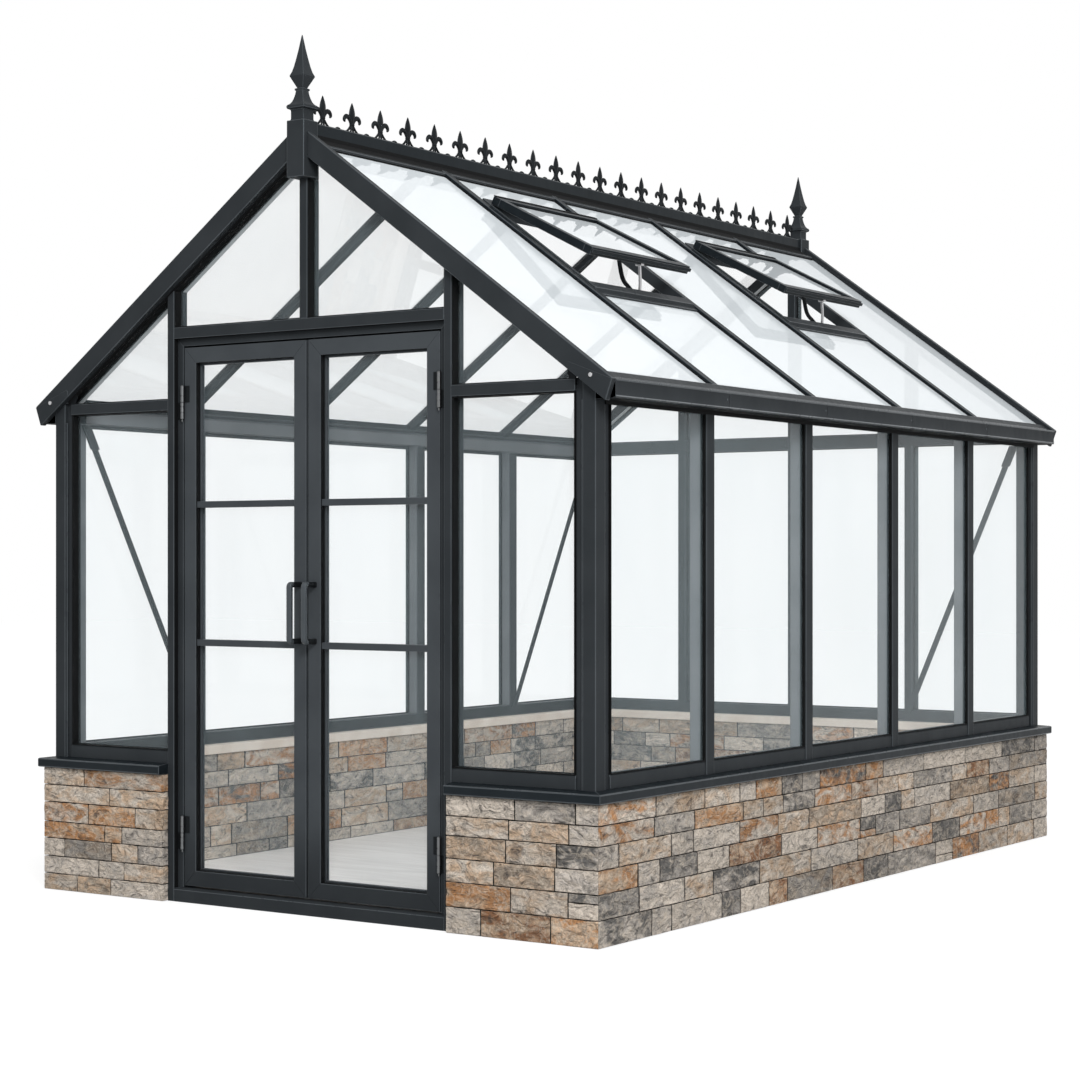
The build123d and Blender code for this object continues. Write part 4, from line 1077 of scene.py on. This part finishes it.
def curve(points, each=4):
    """A smooth line through points of any size, with a number of steps to each."""
    out = []
    for i in range(len(points) - 1):
        around = [points[min(max(i + k, 0), len(points) - 1)] for k in (-1, 0, 1, 2)]
        for t in (k / each for k in range(each)):
            out.append(tuple(
                0.5 * (2 * b + (c - a) * t + (2 * a - 5 * b + 4 * c - d) * t * t + (3 * b - a - 3 * c + d) * t ** 3)
                for a, b, c, d in zip(*around)))
    return out + [points[-1]]


def swept(shape, y, foot, points, each=4):
    """A tapered casting in the ridge plane, through points like those of a fleur's parts."""
    line, rings = curve(points, each), []
    for i, (u, z, width, thick) in enumerate(line):
        before, after = line[max(i - 1, 0)], line[min(i + 1, len(line) - 1)]
        du, dz = after[0] - before[0], after[1] - before[1]
        size = math.hypot(du, dz)
        nu, nz = -dz / size, du / size
        ring = [(rounded(c, 1.15) * width, rounded(s, 1.15) * thick) for c, s in circle(10)]
        rings.append([(out, y + u + nu * across, foot + z + nz * across) for across, out in ring])
    shape.loops(*rings)


# Parts of a fleur, as points of (along, up, half width, half thickness)
PETAL = ((0, 0.024, 0.0085, 0.0060), (0, 0.034, 0.0095, 0.0066), (0, 0.050, 0.0140, 0.0076),
         (0, 0.065, 0.0168, 0.0080), (0, 0.080, 0.0140, 0.0070), (0, 0.094, 0.0080, 0.0050),
         (0, 0.104, 0.0030, 0.0026), (0, 0.108, 0.0006, 0.0006))
BAND = ((0, 0.0225, 0.0105, 0.0072), (0, 0.0245, 0.0130, 0.0086), (0, 0.0285, 0.0130, 0.0086),
        (0, 0.0305, 0.0105, 0.0072))
CURL = ((0.005, 0.026, 0.0055, 0.0055), (0.010, 0.040, 0.0075, 0.0066), (0.021, 0.0525, 0.0088, 0.0072),
        (0.034, 0.0545, 0.0092, 0.0074), (0.0435, 0.047, 0.0080, 0.0066), (0.0450, 0.0385, 0.0060, 0.0056),
        (0.0405, 0.0340, 0.0028, 0.0032))
LEG = ((0.004, 0.026, 0.0046, 0.0050), (0.0115, 0.017, 0.0048, 0.0048), (0.021, 0.007, 0.0046, 0.0046),
       (0.0315, 0.0005, 0.0030, 0.0044))
PRONG = ((0.002, 0.024, 0.0034, 0.0044), (0.005, 0.010, 0.0032, 0.0042), (0.008, -0.001, 0.0036, 0.0042))
FLEURS, FIRST_FLEUR = 22, 1.780


def fleur(shape, y, foot):
    """One rounded fleur-de-lis: petal, two curls, a band and splayed feet."""
    swept(shape, y, foot, PETAL)
    for side in (-1, 1):
        for part in (CURL, LEG, PRONG):
            swept(shape, y, foot, [(side * u, *rest) for u, *rest in part], 3)
    swept(shape, y, foot, BAND, 1)


def cresting():
    """A strip along the ridge with cast fleurs-de-lis and a small knob between each pair."""
    top = RIDGE_HIGH.z
    strip = Shape().box(-0.007, 0.007, -BLOCK_INNER, BLOCK_INNER, top, top + 0.008)
    piece("cresting_strip", strip, "", CASTING, 0.002, 2)
    castings, foot, pitch = Shape(), top + 0.0075, 2 * FIRST_FLEUR / (FLEURS - 1)
    knob = beside(0, foot, (0.0115, -0.001), (0.0110, 0.002), (0.0080, 0.0045), (0.0045, 0.0066), (0.0015, 0.0075))
    for k in range(FLEURS):
        fleur(castings, -FIRST_FLEUR + pitch * k, foot)
        if k < FLEURS - 1:
            castings.turned((0.0, -FIRST_FLEUR + pitch * (k + 0.5)), knob, sides=10)
    piece("cast_cresting", castings, "ridge_cresting", CASTING, smooth=True)


# ---- Roof vents ----
VENT_HINGE, VENT_FOOT, VENT_TRIMMER, VENT_CURB = 0.275, 0.716, 0.036, 0.016
VENT_LENGTH, VENT_RAIL, VENT_DEPTH, VENT_ANGLE = 0.500, 0.035, 0.032, PITCH - math.radians(9)


def on_sash(down, out):
    """Point of the open sash, from its distance down the sash and out of its lower face."""
    x = VENT_HINGE + down * math.cos(VENT_ANGLE) + out * math.sin(VENT_ANGLE)
    return x, roof(VENT_HINGE, 0.007) - down * math.sin(VENT_ANGLE) + out * math.cos(VENT_ANGLE)


def sash_strip(d0, d1, o0, o1):
    return [on_sash(down, out) for down, out in rectangle(d0, d1, o0, o1)]


def vents():
    """Trimmers and curbs, open sashes with drip lips, and the stays that prop them."""
    curbs, frames, seals, arms, stays = Shape(), Shape(), Shape(), Shape(), Shape()
    rail, length, depth, foot = VENT_RAIL, VENT_LENGTH, VENT_DEPTH, VENT_FOOT + VENT_TRIMMER
    seal, sides = rail + INNER_GASKET, (rail, length - rail, 0.0, depth)
    x, z = on_roof(VENT_FOOT - 0.005, 0.040)
    (head_x, head_z), top = on_sash(0.489, 0.004), on_sash(0.400, 0.002)
    rod = curve([(x, z), (x, z + 0.03), (x + 0.002, (z + head_z) / 2), (head_x - 0.002, head_z - 0.012),
                 (head_x - 0.002, head_z)])
    arm = curve([(x, z), (x - 0.006, z + 0.018), (x - 0.030, z + 0.045), (x - 0.060, z + 0.085), top])
    for k in (0, 2):
        near, far = SIDE_LINES[k] + HALF_ROOF_BAR, SIDE_LINES[k + 1] - HALF_ROOF_BAR
        a, b, middle = near + 0.006, far - 0.006, (near + far) / 2
        curbs.prism("y", slope_strip(VENT_HINGE - VENT_TRIMMER, VENT_HINGE, 0.008, BAR_LOW), near, far)
        curbs.prism("y", slope_strip(VENT_FOOT, foot, 0.008, BAR_LOW), near, far)
        curbs.prism("y", slope_strip(foot, foot + 0.014, 0.019, 0.0255), near, far)
        for y in (near, far - VENT_CURB):
            curbs.prism("y", slope_strip(VENT_HINGE + 0.001, VENT_FOOT - 0.001, 0.008, BAR_LOW), y, y + VENT_CURB)
        for strip, y0, y1 in (
            ((0.0, rail, 0.0, depth), a, b), ((length - rail, length, 0.0, depth), a, b),
            (sides, a, a + rail), (sides, b - rail, b),
            ((length - 0.004, length + 0.008, depth - 0.010, depth - 0.006), a, b + 0.004),
            ((length + 0.005, length + 0.008, depth - 0.020, depth - 0.006), a, b + 0.004),
        ):
            frames.prism("y", sash_strip(*strip), y0, y1)
        for d0, d1, y0, y1 in (
            (rail, length - rail, a + rail, a + seal), (rail, length - rail, b - seal, b - rail),
            (rail, seal, a + rail, b - rail), (length - seal, length - rail, a + rail, b - rail),
        ):
            seals.prism("y", sash_strip(d0, d1, 0.0182, 0.023), y0, y1)
        seals.prism("y", sash_strip(-0.002, 0.010, depth, depth + 0.003), a, b)
        stays.rod(rod, middle + 0.015, 0.0045, 0.0050)
        stays.box(head_x - 0.016, head_x + 0.012, middle + 0.005, middle + 0.026, head_z - 0.010, head_z - 0.002)
        arms.rod(arm, middle - 0.015, 0.0050, 0.0075)
        arms.box(x - 0.014, x + 0.005, *about(middle, 0.028), z - 0.012, z + 0.006)
        arms.prism("y", sash_strip(0.385, 0.430, -0.007, 0.0), middle - 0.030, middle)
    piece("vent_curb_set", curbs, "vent_curbs", METAL, 0.002, 2)
    piece("vent_sashes", frames, "vent_frames", SHADED_METAL, 0.0022, 2)
    piece("vent_seals", seals, "", GASKET_AND_SHADE, 0.0005, 1)
    piece("vent_arms", arms, "", HANDLE, 0.0012, 2)
    piece("vent_stay_rods", stays, "vent_stays", BOLT, 0.001, 2)


# ---- Braces and brackets ----
HALF_BRACE, HALF_SLEEVE, SLEEVE = 0.013, 0.0185, 0.075


def diagonal(start, end, half):
    """Outline of a flat bar between two points of a wall plane, cut level at both ends."""
    (x0, z0), (x1, z1) = start, end
    run = half * math.hypot(x1 - x0, z1 - z0) / abs(z1 - z0)
    return [(x0 - run, z0), (x0 + run, z0), (x1 + run, z1), (x1 - run, z1)]


def bracing():
    """Flat braces with a sleeve at each upper end, and the brackets at the frame's corners."""
    top, foot, end = EAVE - 0.005, RAIL_TOP - 0.015, INNER_Y - 0.020
    bars = Shape()
    side_wall = ("x", -INNER_X, 1)
    for a, b, (axis, wall, into) in (
        ((-end, top), (SIDE_LINES[0], foot), side_wall), ((end, top), (SIDE_LINES[-1], foot), side_wall),
        ((INNER_X - 0.020, top), (BACK_LINES[-1], foot), ("y", INNER_Y, -1)),
    ):
        c = [start + (stop - start) * SLEEVE for start, stop in zip(a, b)]
        bars.prism(axis, diagonal(a, b, HALF_BRACE), *sorted((wall, wall + into * 0.008)))
        bars.prism(axis, diagonal(a, c, HALF_SLEEVE), *sorted((wall, wall + into * 0.012)))
    piece("brace_set", bars, "wall_braces", METAL, 0.0018, 2)

    edge, high = FLANGE_X + 0.006, roof(FLANGE_X - 0.020, 0.075)
    arc = [(edge - 0.034 * c, high - 0.058 * s) for s, c in quarter(10)]
    arc += [(edge, high + 0.004), (FLANGE_X - 0.026, high + 0.012)]
    gussets = Shape().prism("y", arc, -FACE_Y + 0.0005, -FACE_Y + 0.008).four()
    piece("eave_gussets", gussets, "", HANDLE, 0.0012, 2)
    screws = Shape()
    for line in BACK_LINES:
        for x in about(line, 0.034):
            for z in (TIE_LOW.z + 0.018, TIE_HIGH.z - 0.018):
                screws.dome("y", (x, z), INNER_Y, -1.0, 0.0045)
    piece("tie_screws", screws, smooth=True)


# ---- Studio: pale floor, soft light and camera ----
SKY_LEVEL, FLOOR_LIFT, KEY_POWER, FLOOR_REACH = 0.70, 0.685, 950.0, 30.0
IN_SIGHT = "Camera", "Glossy", "Transmission"


def studio():
    world = bpy.context.scene.world = bpy.data.worlds.new("studio")
    t = Tree(world, "ShaderNodeOutputWorld")
    t.finish(t.add("Background", ((1.0, 1.0, 1.0), t.remap(t.ray(*IN_SIGHT), 0, 1, SKY_LEVEL, 1))))

    t = material("studio_floor")
    lift = t.add("Emission", ((1.0, 1.0, 1.0), t.remap(t.ray(*IN_SIGHT), 0, 1, 0, FLOOR_LIFT)))
    mesh = bpy.data.meshes.new("studio_floor")
    corners = rectangle(-FLOOR_REACH, FLOOR_REACH, -FLOOR_REACH, FLOOR_REACH)
    mesh.from_pydata([(x, y, 0) for x, y in corners], [], [(0, 1, 2, 3)])
    mesh.materials.append(t.finish(t.add("AddShader", (t.add("BsdfDiffuse", ((0.45, 0.45, 0.45),)), lift))))
    scene_object("studio_floor", mesh)

    lamp = bpy.data.lights.new("key", "AREA")
    lamp.shape, lamp.size, lamp.size_y, lamp.energy = "RECTANGLE", 3.6, 3.6, KEY_POWER
    key = scene_object("key", lamp)
    key.location = (7.9, -9.1, 7.4)
    key.rotation_euler = (Vector((0, 0, 1.2)) - key.location).to_track_quat("-Z", "Y").to_euler()


def camera():
    data = bpy.data.cameras.new("view")
    data.sensor_width, data.lens, data.shift_y, data.clip_end = 36.0, 78.244, 0.0184, 200.0
    view = bpy.context.scene.camera = scene_object("view", data)
    view.location = (5.4393, -8.3956, 1.2787)
    view.rotation_euler = (math.pi / 2, 0.0, 0.5958)
    bpy.context.scene.view_settings.view_transform = "Standard"


def surfaces():
    """Node materials for the CAD nodes that are carried over."""
    looks = {"floor_slab": FLOOR}
    for glass, names in ((GABLE_GLASS, "front left_door right_door"), (WALL_GLASS, "back left right"),
                         (ROOF_GLASS, "left_roof right_roof vent")):
        looks.update((f"{name}_glass", glass) for name in names.split())
    for node, look in looks.items():
        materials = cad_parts[node].data.materials
        materials.clear()
        materials.append(look)


for build in (stone_walls, sills_and_coping, wall_posts, wall_rails, room_painted_light, glazing_gaskets_and_shade, doorway, doors,
              bracing, eave_fittings, gables, roof_bars, ridge, cresting, vents, surfaces, studio, camera):
    build()
